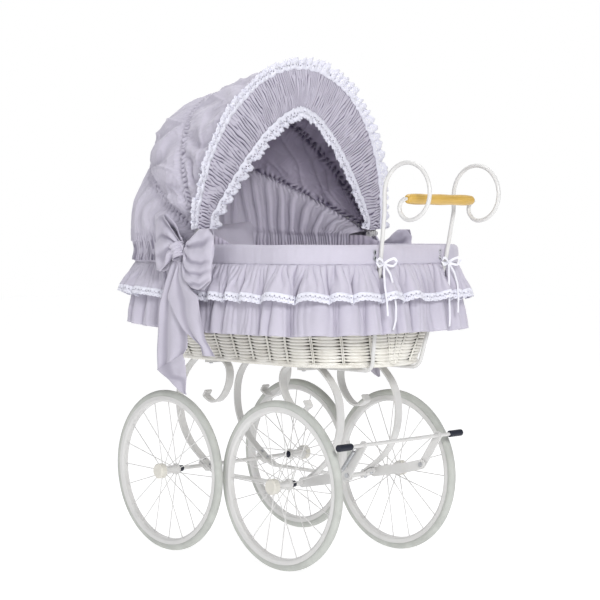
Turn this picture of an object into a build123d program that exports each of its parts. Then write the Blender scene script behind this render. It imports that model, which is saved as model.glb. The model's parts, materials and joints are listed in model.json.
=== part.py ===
"""Retro wicker bassinet pram: spoked-wheel stand, wicker basket with ruffled
skirt, folding bow-trimmed hood, scroll handle and rear foot brake.

Axes: +X towards the handle, +Y towards the pusher's right, +Z up.
The model is drawn about a point on the floor midway between the axles, and
CENTRE_X then puts the origin under the middle of the whole pram.
All sizes are in millimetres.
"""
import os
from math import asin, cos, degrees, radians, sin, sqrt

from build123d import *

# ---------------------------------------------------------------- driving sizes
CENTRE_X = -93.875           # moves the drawing so that its box is centred on X = 0

# wheels
WHEEL_R = 200.0             # outside of the tyre
TYRE_D = 20.0               # section of the solid rubber tyre
AXLE_X = 189.0              # half the wheelbase
FRONT_TRACK_Y = 223.0       # half the front track
REAR_TRACK_Y = 195.0        # half the rear track
AXLE_R = 5.0
SPOKES = 20
SPOKE_D = 2.4
BORE_PLAY = 0.05            # radial clearance of everything that turns on a pin

# side frames, bent from flat strip
FRAME_Y = 100.0
STRIP_W = 22.0
STRIP_T = 5.0
FRAME_TOP_Z = 475.0         # centreline of the strip where the basket rests

# handle
ROD_R = 4.75
RAIL_Y = 81.0
RAIL_Z = FRAME_TOP_Z + STRIP_T / 2 - ROD_R
HANDLE_Y = 119.0
GRIP_X, GRIP_Z = 508.0, 866.0
GRIP_R = 12.5

# basket
BASKET_X = 27.0             # middle of the basket
BASKET_BOTTOM_Z = FRAME_TOP_Z + STRIP_T / 2
BASKET_TOP_Z = 752.0
WICKER_T = 8.0
BAND_BOTTOM_Z = 718.0       # fabric-covered rim band
BAND_TOP_Z = 764.0
BAND_PROUD = 10.0
BOTTOM_OVAL = (340.0, 185.0, 172.0)     # half length, half width, corner radius
TOP_OVAL = (385.0, 270.0, 172.0)

# pillow
PILLOW_T, PILLOW_W, PILLOW_H = 60.0, 310.0, 300.0
PILLOW_X = -215.0

# skirt ruffles: height of the hem, how far the hem and the top stand out from the wicker, and
# how far down the slits for the handle rods reach
UPPER_RUFFLE = (602.0, 40.0, 9.0, 600.0)
LOWER_RUFFLE = (545.0, 26.0, 4.0, 622.0)
CLOTH_T = 3.0

# hood: half width, radial length and lean back from upright of each hoop
PIVOT_X, PIVOT_Z = 20.0, 790.0
HOOP_R = 3.0
REAR_HOOP = (289.0, 458.0, 62.0)
MID_HOOP = (296.0, 413.0, 30.0)
FRONT_HOOP = (303.0, 410.0, -6.0)
RIM_ARCH = (290.0, 396.0, 93.0)
PIVOT_PIN_R = 3.0
BOLT_END_Y = 309.5          # outer end of the hood's pivot bolts
VISOR_OUTER = (318.0, 418.0)
VISOR_INNER = [(276, 14), (237, 69), (188, 152), (137, 220), (74, 279), (0, 304)]   # one side, foot to crown
VISOR_START = 14.0          # height of the visor's feet over the pivot line
VISOR_T = 9.0

# foot brake
BRAKE_PIVOT = (343.0, 234.0)
BRAKE_BAR = (393.0, 308.0)
PLATE_Y = 124.0             # middle of the fixed plates
ARM_Y = 129.0               # middle of the swinging arms
BRAKE_T = 4.0
PAD_Y = 191.0
PAD_R, PAD_LEN = 8.0, 45.0

SIDES = {"left": -1, "right": 1}
WHEELS = {
    "front_left": (-AXLE_X, -FRONT_TRACK_Y, -1),
    "front_right": (-AXLE_X, FRONT_TRACK_Y, 1),
    "rear_left": (AXLE_X, -REAR_TRACK_Y, -1),
    "rear_right": (AXLE_X, REAR_TRACK_Y, 1),
}
nodes = {}


# ---------------------------------------------------------------- small helpers
def rod_y(radius, y0, y1, x=0.0, z=0.0):
    """A round bar along Y."""
    return Pos(x, (y0 + y1) / 2, z) * Rot(90, 0, 0) * Cylinder(radius, abs(y1 - y0))


def ring_y(r_out, r_in, y0, y1, x=0.0, z=0.0):
    """A washer or tube along Y."""
    low, high = sorted((y0, y1))
    return rod_y(r_out, low, high, x, z) - rod_y(r_in, low - 1, high + 1, x, z)


def lathe_y(points):
    """A solid turned about the Y axis from (radius, y) points."""
    face = make_face(Polyline([(r, y, 0) for r, y in points], close=True))
    return revolve(face, axis=Axis.Y)


def oval(half_length, half_width, corner_r, z, offset=0.0):
    """A rounded rectangle about the middle of the basket, at height z."""
    return Pos(BASKET_X, 0, z) * RectangleRounded(
        2 * (half_length + offset), 2 * (half_width + offset), corner_r + offset)


def basket_section(z, offset=0.0):
    """The wicker's outline: it flares up to the band and is upright behind it."""
    share = min(1.0, (z - BASKET_BOTTOM_Z) / (BAND_BOTTOM_Z - BASKET_BOTTOM_Z))
    sizes = [low + share * (high - low) for low, high in zip(BOTTOM_OVAL, TOP_OVAL)]
    return oval(*sizes, z, offset)


def basket_block(z0, z1, offset=0.0):
    """A solid with the basket's outline between two heights."""
    knee = BAND_BOTTOM_Z
    block = None
    levels = [z0, knee, z1] if z0 < knee < z1 else [z0, z1]
    for low, high in zip(levels, levels[1:]):
        piece = loft([basket_section(low, offset), basket_section(high, offset)])
        block = piece if block is None else block + piece
    return block


def half_ellipse(half_width, height, start_height):
    """The upper half of an ellipse about the pivot line, from a little above it on both sides."""
    foot = degrees(asin(start_height / height))
    return EllipticalCenterArc((0, 0), half_width, height, start_angle=foot, arc_size=180 - 2 * foot)


def band_face(plane, outside, inside):
    """The flat band between an outer and an inner arch."""
    feet = [Line(outside @ 0, inside @ 0), Line(outside @ 1, inside @ 1)]
    return plane * make_face([outside, inside, *feet])


def hoop_plane(lean, forward=0.0):
    """The plane of a hoop: local x is +Y and local y points from the pivot to the crown."""
    a = radians(lean)
    crown = Vector(-sin(a), 0, cos(a))
    normal = Vector(0, 1, 0).cross(crown)
    origin = Vector(PIVOT_X, 0, PIVOT_Z) + normal * forward
    return Plane(origin=origin, x_dir=(0, 1, 0), z_dir=normal)


def strip_xz(points, width, y_mid, thickness):
    """A flat link with round ends along a line of (x, z) points, standing in the XZ plane."""
    link = None
    for (x0, z0), (x1, z1) in zip(points, points[1:]):
        length = sqrt((x1 - x0) ** 2 + (z1 - z0) ** 2)
        run = Plane(origin=((x0 + x1) / 2, y_mid, (z0 + z1) / 2),
                    x_dir=(x1 - x0, 0, z1 - z0), z_dir=(0, 1, 0))
        piece = extrude(run * SlotCenterToCenter(length, width), thickness / 2, both=True)
        link = piece if link is None else link + piece
    return link


# ---------------------------------------------------------------- wheels
def wheel(name, x, y, side):
    """Tyre, rim, spokes, hub and cap; side is the outboard direction along Y."""
    tyre_mid = WHEEL_R - TYRE_D / 2
    rim_in, rim_lip, rim_half, wall = 171.0, 185.0, 9.5, 1.6
    tyre = revolve(Plane.XY * Pos(tyre_mid, 0) * Circle(TYRE_D / 2), axis=Axis.Y)
    channel = lathe_y([(rim_in, -rim_half + 3), (rim_in, rim_half - 3), (rim_in + 5, rim_half),
                       (rim_lip, rim_half), (rim_lip, rim_half - wall), (rim_in + wall + 6, rim_half - wall),
                       (rim_in + wall + 6, -rim_half + wall), (rim_lip, -rim_half + wall),
                       (rim_lip, -rim_half), (rim_in + 5, -rim_half)])
    rim = channel - tyre

    outer_flange, inner_flange = 16.5, 14.0
    bore = AXLE_R + BORE_PLAY
    hub = lathe_y([(bore, -32), (9, -32), (9, -27), (inner_flange, -26.5), (inner_flange, -23.5), (10, -22),
                   (10, 12), (outer_flange, 14), (outer_flange, 18), (bore, 18)])
    cap_r = 18.5
    cap = lathe_y([(10, 18), (cap_r - 1.5, 18), (cap_r, 19.5), (cap_r, 33), (cap_r - 3, 36), (0, 36),
                   (0, 34), (cap_r - 4, 34), (cap_r - 3, 32), (cap_r - 3, 20), (10, 20)])

    spokes = []
    for flange_r, flange_y, first in ((outer_flange, 16.0, 0), (inner_flange, -25.0, 1)):
        root, tip = Vector(flange_r - 1, flange_y, 0), Vector(rim_in + 1, 0, 0)
        rail = Line(root, tip)
        spoke = sweep(Plane(origin=root, z_dir=tip - root) * Circle(SPOKE_D / 2), path=rail)
        spoke = spoke - hub - rim
        for k in range(first, SPOKES, 2):
            spokes.append(Rot(0, k * 360 / SPOKES, 0) * spoke)

    place = Pos(x, y, WHEEL_R)
    turn = Rot(0, 0, 0) if side > 0 else Rot(180, 0, 0)
    for part_name, shape in (("tyre", tyre), ("rim", rim), ("hub", hub), ("hub_cap", cap)):
        nodes[f"{name}_{part_name}"] = place * turn * shape
    nodes[f"{name}_spokes"] = Compound([place * turn * one for one in spokes])


# ---------------------------------------------------------------- stand
def frame_half():
    """Centreline of one end of a side frame, from the floor bar up and round into the scroll."""
    foot = (130.0, 0, 184.0)
    crest = (195.0, 0, FRAME_TOP_Z)
    inner_crest = (142.0, 0, FRAME_TOP_Z)
    bulge = Spline(foot, (185.0, 0, 206.7), (247, 0, 253), (284, 0, 312), (291, 0, 368), (272, 0, 428),
                   (238, 0, 463), crest, tangents=((1, 0, 0), (-1, 0, 0)))
    scroll = Spline(inner_crest, (96, 0, 432), (118, 0, 385), (163, 0, 366), (185, 0, 377), (178, 0, 392),
                    tangents=((-1, 0, 0), (-0.6, 0, 0.8)))
    return [Line((0, 0, foot[2]), foot), bulge, Line(crest, inner_crest), scroll]


def side_frames(cutters):
    """Each side is one flat strip, bent the same way at both ends."""
    strip = None
    for edge in frame_half():
        start = edge @ 0
        profile = Plane(origin=start, x_dir=(0, 1, 0), z_dir=edge % 0) * Rectangle(STRIP_W, STRIP_T)
        piece = sweep(profile, path=edge)
        strip = piece if strip is None else strip + piece
    strip = strip + mirror(strip, about=Plane.YZ)
    for name, side in SIDES.items():
        frame = Pos(0, side * FRAME_Y, 0) * strip
        for cutter in cutters:
            frame = frame - cutter
        nodes[f"side_frame_{name}"] = frame


def axle_clamp(x_sign, y):
    """A saddle under the axle, lying along the sloping strip, with its two bolts."""
    slope = 31.0
    half_strip = STRIP_T / 2
    seat = Pos(x_sign * AXLE_X, y, WHEEL_R) * Rot(0, -x_sign * slope, 0)
    block = seat * Pos(0, 0, -0.5) * Box(34, STRIP_W, 2 * AXLE_R - 1)
    block = block - rod_y(AXLE_R, y - STRIP_W, y + STRIP_W, x_sign * AXLE_X, WHEEL_R)
    top = AXLE_R + 2 * half_strip
    bolts = []
    for along in (-12, 12):
        shank = seat * Pos(along, 0, (top - AXLE_R - 1) / 2) * Cylinder(2.0, top + AXLE_R + 5)
        head = seat * Pos(along, 0, -AXLE_R - 1.5) * Cylinder(4.0, 3)
        nut = seat * Pos(along, 0, top + 1.9) * extrude(RegularPolygon(4.0, 6), 2.2)
        bolts.append((shank, head, nut))
    return block, bolts


def stand():
    clamps, bolts, shanks = [], [], []
    for x_sign in (-1, 1):
        for side in SIDES.values():
            block, sets = axle_clamp(x_sign, side * FRAME_Y)
            for shank, head, nut in sets:
                block = block - shank
                shanks.append(shank)
                bolts.append(shank + head + nut)
            clamps.append(block)

    # cross stays under the basket: raised ends meet the strips, and cheeks hold the handle's rails
    stay_t, stay_top = 4.0, RAIL_Z - ROD_R
    strip_under = FRAME_TOP_Z - STRIP_T / 2
    for name, x in (("front", -168.0), ("rear", 168.0)):
        half_y = FRAME_Y + STRIP_W / 2
        stay = Pos(x, 0, stay_top - stay_t / 2) * Box(22, 2 * half_y, stay_t)
        for side in SIDES.values():
            pad_h = strip_under - stay_top
            stay = stay + Pos(x, side * FRAME_Y, stay_top + pad_h / 2) * Box(22, STRIP_W, pad_h)
            top = FRAME_TOP_Z + STRIP_T / 2
            low = stay_top - stay_t - 3
            shank = Pos(x, side * FRAME_Y, (top + low) / 2) * Cylinder(2.5, top - low)
            head = Pos(x, side * FRAME_Y, low + 1.5) * Cylinder(4.5, 3)
            stay = stay - shank
            shanks.append(shank)
            bolts.append(shank + head)
            cheek_h = ROD_R + 3
            cheeks = Pos(x, side * (RAIL_Y - 0.5), stay_top + cheek_h / 2) * Box(12, 15, cheek_h)
            rail = Pos(x, side * RAIL_Y, RAIL_Z) * Rot(0, 90, 0) * Cylinder(ROD_R, 40)
            stay = stay + (cheeks - rail)
        nodes[f"{name}_cross_stay"] = stay

    nodes["axle_clamps"] = Compound(clamps)
    nodes["frame_bolts"] = Compound(bolts)
    side_frames(shanks)

    # axles with the washer and collar inside each hub, and the nut in its cap
    fasteners = []
    for name, x, track in (("front", -AXLE_X, FRONT_TRACK_Y), ("rear", AXLE_X, REAR_TRACK_Y)):
        reach = track + 27.0
        nodes[f"{name}_axle"] = rod_y(AXLE_R, -reach, reach, x, WHEEL_R)
        for side in SIDES.values():
            inner = side * (track - 32.4)
            fasteners.append(ring_y(9, AXLE_R, inner, inner - side * 3, x, WHEEL_R))
            collar = inner - side * 3
            fasteners.append(ring_y(7.5, AXLE_R, collar, collar - side * 9, x, WHEEL_R))
            nut_y = side * (track + 18.4)
            hexagon = Pos(x, nut_y, WHEEL_R) * Rot(-90 * side, 0, 0) * extrude(RegularPolygon(9, 6), 6)
            fasteners.append(hexagon - rod_y(AXLE_R, nut_y - 9, nut_y + 9, x, WHEEL_R))
    nodes["axle_fasteners"] = Compound(fasteners)


def handle():
    """Two bent rods, from the rails under the basket up to the scrolls that hold the grip."""
    for name, side in SIDES.items():
        y_low, y_top = side * RAIL_Y, side * HANDLE_Y
        lower = FilletPolyline((-195, y_low, RAIL_Z), (373, y_low, RAIL_Z), (429, side * 112, 728),
                               (447, y_top, 840), (447, y_top, 879), radius=[26, 120, 110])
        spots = [(514, 946), (581, 879), (524, 819), (494, 837), (GRIP_X, GRIP_Z)]
        edges = [lower]
        for x, z in spots:
            last = edges[-1]
            edges.append(TangentArc(last @ 1, (x, y_top, z), tangent=last % 1))
        start = edges[0] @ 0
        profile = Plane(origin=start, z_dir=edges[0] % 0) * Circle(ROD_R)
        nodes[f"handle_rod_{name}"] = sweep(profile, path=Wire(Compound(edges).edges()))

    rod_side = HANDLE_Y - ROD_R
    core_r = 4.0
    grip_half = rod_side - 1.0
    swell = [(GRIP_R - 2.0, grip_half - 5), (GRIP_R, grip_half - 34), (GRIP_R - 0.8, 40)]
    profile = Spline([(r, -y) for r, y in swell] + [(GRIP_R, 0)] + swell[::-1])
    outline = [Line((core_r, -grip_half), (GRIP_R - 5, -grip_half)),
               Line((GRIP_R - 5, -grip_half), profile @ 0), profile,
               Line(profile @ 1, (GRIP_R - 5, grip_half)),
               Line((GRIP_R - 5, grip_half), (core_r, grip_half)),
               Line((core_r, grip_half), (core_r, -grip_half))]
    grip = revolve(make_face(outline), axis=Axis.Y)
    nodes["handle_grip"] = Pos(GRIP_X, 0, GRIP_Z) * grip
    core = rod_y(core_r, -HANDLE_Y, HANDLE_Y, GRIP_X, GRIP_Z)
    nodes["grip_core"] = core - nodes["handle_rod_left"] - nodes["handle_rod_right"]


# ---------------------------------------------------------------- basket and soft goods
def basket():
    floor_z = BASKET_BOTTOM_Z + 9
    shell = basket_block(BASKET_BOTTOM_Z, BASKET_TOP_Z)
    nodes["wicker_basket"] = shell - basket_block(floor_z, BASKET_TOP_Z + 1, -WICKER_T)

    band = oval(*TOP_OVAL, BAND_BOTTOM_Z, BAND_PROUD)
    band = extrude(band, BAND_TOP_Z - BAND_BOTTOM_Z)
    under = extrude(oval(*TOP_OVAL, BAND_BOTTOM_Z - 1, 0.3), BASKET_TOP_Z + 0.3 - BAND_BOTTOM_Z + 1)
    mouth = extrude(oval(*TOP_OVAL, BASKET_TOP_Z - 1, -14), 20)
    nodes["rim_band"] = band - under - mouth

    liner_t = 3.0
    liner = basket_block(floor_z + 0.3, BASKET_TOP_Z, -WICKER_T - 0.5)
    nodes["liner"] = liner - basket_block(floor_z + 2, BASKET_TOP_Z + 1, -WICKER_T - 0.5 - liner_t)

    mattress_z = floor_z + 2.3
    mattress_t = 45.0
    nodes["mattress"] = basket_block(mattress_z, mattress_z + mattress_t, -WICKER_T - liner_t - 3)

    # the pillow stands on the mattress and leans towards the head end
    foot_z = mattress_z + mattress_t + 8
    lean = 16.0
    slab = fillet(Box(PILLOW_T, PILLOW_W, PILLOW_H).edges(), 22)
    nodes["pillow"] = Pos(PILLOW_X, 0, foot_z) * Rot(0, -lean, 0) * Pos(0, 0, PILLOW_H / 2) * slab

    top_z = BAND_BOTTOM_Z
    for name, sizes in (("upper_ruffle", UPPER_RUFFLE), ("lower_ruffle", LOWER_RUFFLE)):
        hem_z, hem_out, top_out, slit_z = sizes
        outer = loft([oval(*TOP_OVAL, hem_z, hem_out), oval(*TOP_OVAL, top_z, top_out)])
        inner = loft([oval(*TOP_OVAL, hem_z, hem_out - CLOTH_T), oval(*TOP_OVAL, top_z, top_out - CLOTH_T)])
        skirt = outer - inner
        for side in SIDES.values():
            slit = Pos(BASKET_X + TOP_OVAL[0], side * 106, (top_z + slit_z) / 2)
            skirt = skirt - slit * Box(120, 27, top_z - slit_z + 1)
        nodes[name] = skirt


def bow(side):
    """Knot, two loops and two pointed tails of one bow, outside the hood's pivot."""
    y_in = side * 320.0
    depth = 34.0
    knot_at = (-14.0, 752.0)
    body = rod_y(18, side * BOLT_END_Y, y_in + side * depth, *knot_at)
    for points in ([(-10, 18), (-62, 66), (-96, 60), (-92, -50), (-10, -18)],
                   [(10, 18), (66, 52), (120, 46), (116, -84), (10, -18)]):
        outline = [(knot_at[0] + x, y_in, knot_at[1] + z) for x, z in points]
        body = body + extrude(make_face(Polyline(outline, close=True)), depth, dir=(0, side, 0))
    tail_y = side * 328.0
    for points in ([(-14, -6), (-92, -285), (26, -335), (10, -10)],
                   [(8, -4), (96, -130), (142, -245), (66, -160), (-2, -14)]):
        outline = [(knot_at[0] + x, tail_y, knot_at[1] + z) for x, z in points]
        body = body + extrude(make_face(Polyline(outline, close=True)), 6, dir=(0, side, 0))
    return body


def flat_bar(start, end, width, thickness):
    """A straight strip between two points of the XZ plane, its width along Y."""
    run = end - start
    plane = Plane(origin=start, x_dir=(0, 1, 0), z_dir=run)
    return extrude(plane * Rectangle(width, thickness), run.length)


def ribbon_ties():
    """A tied ribbon holds each handle rod to the band: a wrap round the rod and two tails."""
    ties = []
    tie_z = 722.0
    rod_x, tie_y = 428.0, 111.3
    wrap_r = ROD_R + 0.2
    for side in SIDES.values():
        wrap = Pos(rod_x, side * tie_y, tie_z) * Cylinder(wrap_r + 1.2, 6)
        knot = Pos(rod_x + wrap_r + 4, side * tie_y, tie_z) * Box(7, 11, 9)
        tie = wrap + knot
        for lean in (-6, 6):
            y = side * tie_y + lean
            top = Vector(rod_x + 11, y, tie_z + 2)
            fold = Vector(464, y, 603)
            tip = Vector(455, y, 572)
            tie = tie + flat_bar(top, fold, 6, 2) + flat_bar(fold, tip, 6, 2)
        ties.append(tie - nodes[f"handle_rod_{'left' if side < 0 else 'right'}"] - nodes["rim_band"])
    nodes["ribbon_ties"] = Compound(ties)


# ---------------------------------------------------------------- hood
def hoop(half_width, length, lean):
    """A half-elliptical wire hoop with a flat eye at each end."""
    arc = hoop_plane(lean) * half_ellipse(half_width, length, 5.0)
    profile = Plane(origin=arc @ 0, z_dir=arc % 0) * Circle(HOOP_R)
    wire = sweep(profile, path=arc)
    hole = PIVOT_PIN_R + BORE_PLAY
    for side in SIDES.values():
        y = side * half_width
        wire = wire + rod_y(8, y - 2, y + 2, PIVOT_X, PIVOT_Z)
        wire = wire - rod_y(hole, y - 5, y + 5, PIVOT_X, PIVOT_Z)
    return wire


def gore(front, rear):
    """Cloth between two hoops, a plain band that keeps clear of both wires."""
    gap = HOOP_R + 1.2
    start = 60.0
    faces = []
    for (half_width, length, lean), forward in ((front, -gap), (rear, gap)):
        outside = half_ellipse(half_width + 3, length + 3, start)
        inside = half_ellipse(half_width - 1, length - 1, start)
        faces.append(band_face(hoop_plane(lean, forward), outside, inside))
    return loft(faces, ruled=True)


def hood():
    nodes["hoop_rear"] = hoop(*REAR_HOOP)
    nodes["hoop_mid"] = hoop(*MID_HOOP)
    nodes["hoop_front"] = hoop(*FRONT_HOOP)
    nodes["hood_back"] = gore(REAR_HOOP, RIM_ARCH)
    nodes["hood_gore_rear"] = gore(MID_HOOP, REAR_HOOP)
    nodes["hood_gore_front"] = gore(FRONT_HOOP, MID_HOOP)

    # the visor narrows from its crown to its feet round a pointed mouth
    front = hoop_plane(FRONT_HOOP[2], HOOP_R)
    mouth = Spline(VISOR_INNER + [(-y, h) for y, h in VISOR_INNER[-2::-1]])
    visor_face = band_face(front, half_ellipse(*VISOR_OUTER, VISOR_START), mouth)
    nodes["hood_visor"] = extrude(visor_face, VISOR_T, dir=front.z_dir)

    brackets, pins = [], []
    plate_y = TOP_OVAL[1] + BAND_PROUD + 1.5
    for side in SIDES.values():
        link = strip_xz([(PIVOT_X, 728), (PIVOT_X, PIVOT_Z)], 16, side * plate_y, 3)
        pin = rod_y(PIVOT_PIN_R, side * (plate_y - 1.5), side * (BOLT_END_Y - 1), PIVOT_X, PIVOT_Z)
        screw = rod_y(4, side * (plate_y + 1.5), side * (plate_y + 3.5), PIVOT_X, 730)
        head = rod_y(6, side * (BOLT_END_Y - 3), side * BOLT_END_Y, PIVOT_X, PIVOT_Z)
        brackets.append(link - pin)
        pins += [pin + head, screw]
    nodes["hood_brackets"] = Compound(brackets)
    nodes["hood_pivot_bolts"] = Compound(pins)


# ---------------------------------------------------------------- foot brake
def brake():
    """Fixed plates on the rear axle carry a swinging bar whose rubber ends press on the tyres."""
    px, pz = BRAKE_PIVOT
    bx, bz = BRAKE_BAR
    pin_r = 3.0
    bar_r = 4.5
    pins = []
    for name, side in SIDES.items():
        plate = strip_xz([(AXLE_X, WHEEL_R), (px - 45, pz - 12), (px, pz)], 24, side * PLATE_Y, BRAKE_T)
        plate = plate - rod_y(AXLE_R, side * (PLATE_Y - 9), side * (PLATE_Y + 9), AXLE_X, WHEEL_R)
        pin = rod_y(pin_r, side * (PLATE_Y - 4), side * (ARM_Y + 5), px, pz)
        for y0, y1 in ((PLATE_Y - 5, PLATE_Y - 2), (ARM_Y + 2.5, ARM_Y + 5.5)):
            pin = pin + rod_y(5.5, side * y0, side * y1, px, pz)
        nodes[f"brake_plate_{name}"] = plate - pin
        pins.append(pin)

        arm = strip_xz([(px, pz), (bx, bz)], 20, side * (ARM_Y + 0.2), BRAKE_T)
        arm = arm - rod_y(pin_r + BORE_PLAY, side * (ARM_Y - 9), side * (ARM_Y + 9), px, pz)
        arm = arm - rod_y(bar_r, side * (ARM_Y - 9), side * (ARM_Y + 9), bx, bz)
        nodes[f"brake_arm_{name}"] = arm
    nodes["brake_pins"] = Compound(pins)

    inner_end = PAD_Y - PAD_LEN / 2
    nodes["brake_bar"] = rod_y(bar_r, -inner_end - 12, inner_end + 12, bx, bz)
    pads = []
    for side in SIDES.values():
        pad = rod_y(PAD_R, side * inner_end, side * (inner_end + PAD_LEN), bx, bz)
        pad = fillet(pad.edges().filter_by(GeomType.CIRCLE), 2.5)
        pads.append(pad - nodes["brake_bar"])
    nodes["brake_pads"] = Compound(pads)

    # tension spring from a stub on the left plate to the top of the left arm
    low = Vector(px - 17, -(ARM_Y + 9.5), pz + 2)
    high = Vector(bx - 13, -(ARM_Y + 9.5), bz - 2)
    run = high - low
    coil_r, wire_r, turns = 4.2, 0.8, 22
    coil_len = run.length - 16
    coil = Helix(pitch=coil_len / turns, height=coil_len, radius=coil_r)
    section = Plane(origin=coil @ 0, z_dir=coil % 0) * Circle(wire_r)
    along = Plane(origin=low + run.normalized() * 8, z_dir=run)
    nodes["brake_spring"] = along * sweep(section, path=coil)


# ---------------------------------------------------------------- build and write
def build():
    for wheel_name, (x, y, side) in WHEELS.items():
        wheel(wheel_name, x, y, side)
    stand()
    handle()
    basket()
    for bow_name, side in SIDES.items():
        nodes[f"bow_{bow_name}"] = bow(side)
    ribbon_ties()
    hood()
    brake()


def write():
    os.makedirs("parts", exist_ok=True)
    for name, shape in nodes.items():
        export_step(Pos(CENTRE_X, 0, 0) * shape, f"parts/{name}.step")


build()
write()
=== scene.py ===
"""Looks of the bassinet pram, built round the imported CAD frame.

Lengths are metres and axes are the frame's: +X towards the handle, +Y towards the pusher's right, +Z up.
Places come from the CAD boxes and the hood's pivot; sizes of cloth, lace and weave are named below.
"""
import json
import math

import bmesh
import bpy
import numpy as np
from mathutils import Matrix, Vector
from mathutils.geometry import delaunay_2d_cdt


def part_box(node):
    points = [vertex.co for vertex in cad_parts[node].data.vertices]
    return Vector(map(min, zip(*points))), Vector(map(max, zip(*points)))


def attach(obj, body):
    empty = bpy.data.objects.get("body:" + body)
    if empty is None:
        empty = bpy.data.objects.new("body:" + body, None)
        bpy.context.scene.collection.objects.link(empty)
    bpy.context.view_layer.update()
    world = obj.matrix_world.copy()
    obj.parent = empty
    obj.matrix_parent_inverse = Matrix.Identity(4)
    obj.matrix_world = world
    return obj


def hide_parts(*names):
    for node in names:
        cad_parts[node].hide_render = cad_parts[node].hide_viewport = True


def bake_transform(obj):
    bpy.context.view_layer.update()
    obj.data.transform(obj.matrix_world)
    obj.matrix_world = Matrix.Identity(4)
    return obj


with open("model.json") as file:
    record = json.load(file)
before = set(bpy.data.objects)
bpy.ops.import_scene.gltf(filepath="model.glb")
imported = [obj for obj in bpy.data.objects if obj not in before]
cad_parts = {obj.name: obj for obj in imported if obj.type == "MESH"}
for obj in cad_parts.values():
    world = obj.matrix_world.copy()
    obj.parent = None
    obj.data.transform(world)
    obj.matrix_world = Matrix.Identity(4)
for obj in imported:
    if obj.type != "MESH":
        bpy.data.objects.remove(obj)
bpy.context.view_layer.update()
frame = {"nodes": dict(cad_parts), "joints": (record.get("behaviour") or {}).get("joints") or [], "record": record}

# ------------------------------------------------------------------ places and sizes
joints = {j["name"]: j for j in frame["joints"]}
PIVOT = Vector(joints["hood_rear_fold"]["pos_m"])
basket_lo, basket_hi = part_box("wicker_basket")
band_lo, band_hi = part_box("rim_band")
BASKET_X = (basket_lo.x + basket_hi.x) / 2
FLOOR_Z, TOP_Z = basket_lo.z, basket_hi.z
BAND_Z0, BAND_Z1 = band_lo.z, band_hi.z

TOP_OVAL = (0.385, 0.270)
BOTTOM_OVAL = (0.340, 0.185)
CORNER = 0.172

# hoops: half width, length from pivot to crown, lean back from upright in degrees
REAR_HOOP = (0.289, 0.458, 62.0)
MID_HOOP = (0.296, 0.413, 30.0)
FRONT_HOOP = (0.303, 0.410, -6.0)

TAU = 2 * math.pi
CLEAR = 0.022               # folds start this far from a hoop
HEM_BULGE = 0.0032          # how far a sewn channel stands out over its hoop


# ------------------------------------------------------------------ small helpers
def noise(x, y, seed, nx=64, ny=64):
    """Smooth noise from -1 to 1 that repeats every nx by ny."""
    lattice = np.random.default_rng(seed).uniform(-1, 1, (nx, ny))
    xi, yi = np.floor(x).astype(int), np.floor(y).astype(int)
    fx, fy = x - xi, y - yi
    fx, fy = fx * fx * (3 - 2 * fx), fy * fy * (3 - 2 * fy)
    a, b = lattice[xi % nx, yi % ny], lattice[(xi + 1) % nx, yi % ny]
    c, d = lattice[xi % nx, (yi + 1) % ny], lattice[(xi + 1) % nx, (yi + 1) % ny]
    return (a * (1 - fx) + b * fx) * (1 - fy) + (c * (1 - fx) + d * fx) * fy


def ease(x, low=0.0, high=1.0):
    """0 below low, 1 above high, and smooth between."""
    t = np.clip((x - low) / (high - low), 0, 1)
    return t * t * (3 - 2 * t)


def unit(v):
    return v / np.maximum(np.linalg.norm(v, axis=-1, keepdims=True), 1e-12)


def resample(points, n):
    """n points evenly spaced along a line of points, rounded a little."""
    p = np.array(points, float)
    along = np.concatenate([[0], np.cumsum(np.linalg.norm(np.diff(p, axis=0), axis=1))])
    at = np.linspace(0, along[-1], n)
    line = np.stack([np.interp(at, along, p[:, k]) for k in range(p.shape[1])], 1)
    for _ in range(max(2, n // 12)):
        line[1:-1] = (line[:-2] + 2 * line[1:-1] + line[2:]) / 4
    return line


def mesh(name, verts, faces, material, smooth=True):
    """A new mesh object; smooth is one answer for all its faces, or a list of one for each."""
    me = bpy.data.meshes.new(name)
    faces = faces.tolist() if isinstance(faces, np.ndarray) else faces
    me.from_pydata(np.asarray(verts, float).tolist(), [], faces)
    me.polygons.foreach_set("use_smooth", smooth if isinstance(smooth, list) else [smooth] * len(me.polygons))
    me.materials.append(material)
    me.update()
    obj = bpy.data.objects.new(name, me)
    bpy.context.scene.collection.objects.link(obj)
    return obj


def grid_faces(nu, nv, loop_u=False, loop_v=False):
    idx = np.arange(nu * nv).reshape(nu, nv)
    i = np.arange(nu if loop_u else nu - 1)[:, None]
    j = np.arange(nv if loop_v else nv - 1)[None, :]
    i2, j2 = (i + 1) % nu, (j + 1) % nv
    return np.stack([idx[i, j], idx[i2, j], idx[i2, j2], idx[i, j2]], -1).reshape(-1, 4)


def grid(name, points, material, loop_u=False, loop_v=False, keep=None):
    """A sheet through a (nu, nv, 3) array of points; keep drops faces where it is False."""
    nu, nv = points.shape[:2]
    faces = grid_faces(nu, nv, loop_u, loop_v)
    if keep is not None:
        faces = faces[keep.reshape(-1)]
    return mesh(name, points.reshape(-1, 3), faces, material)


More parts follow.
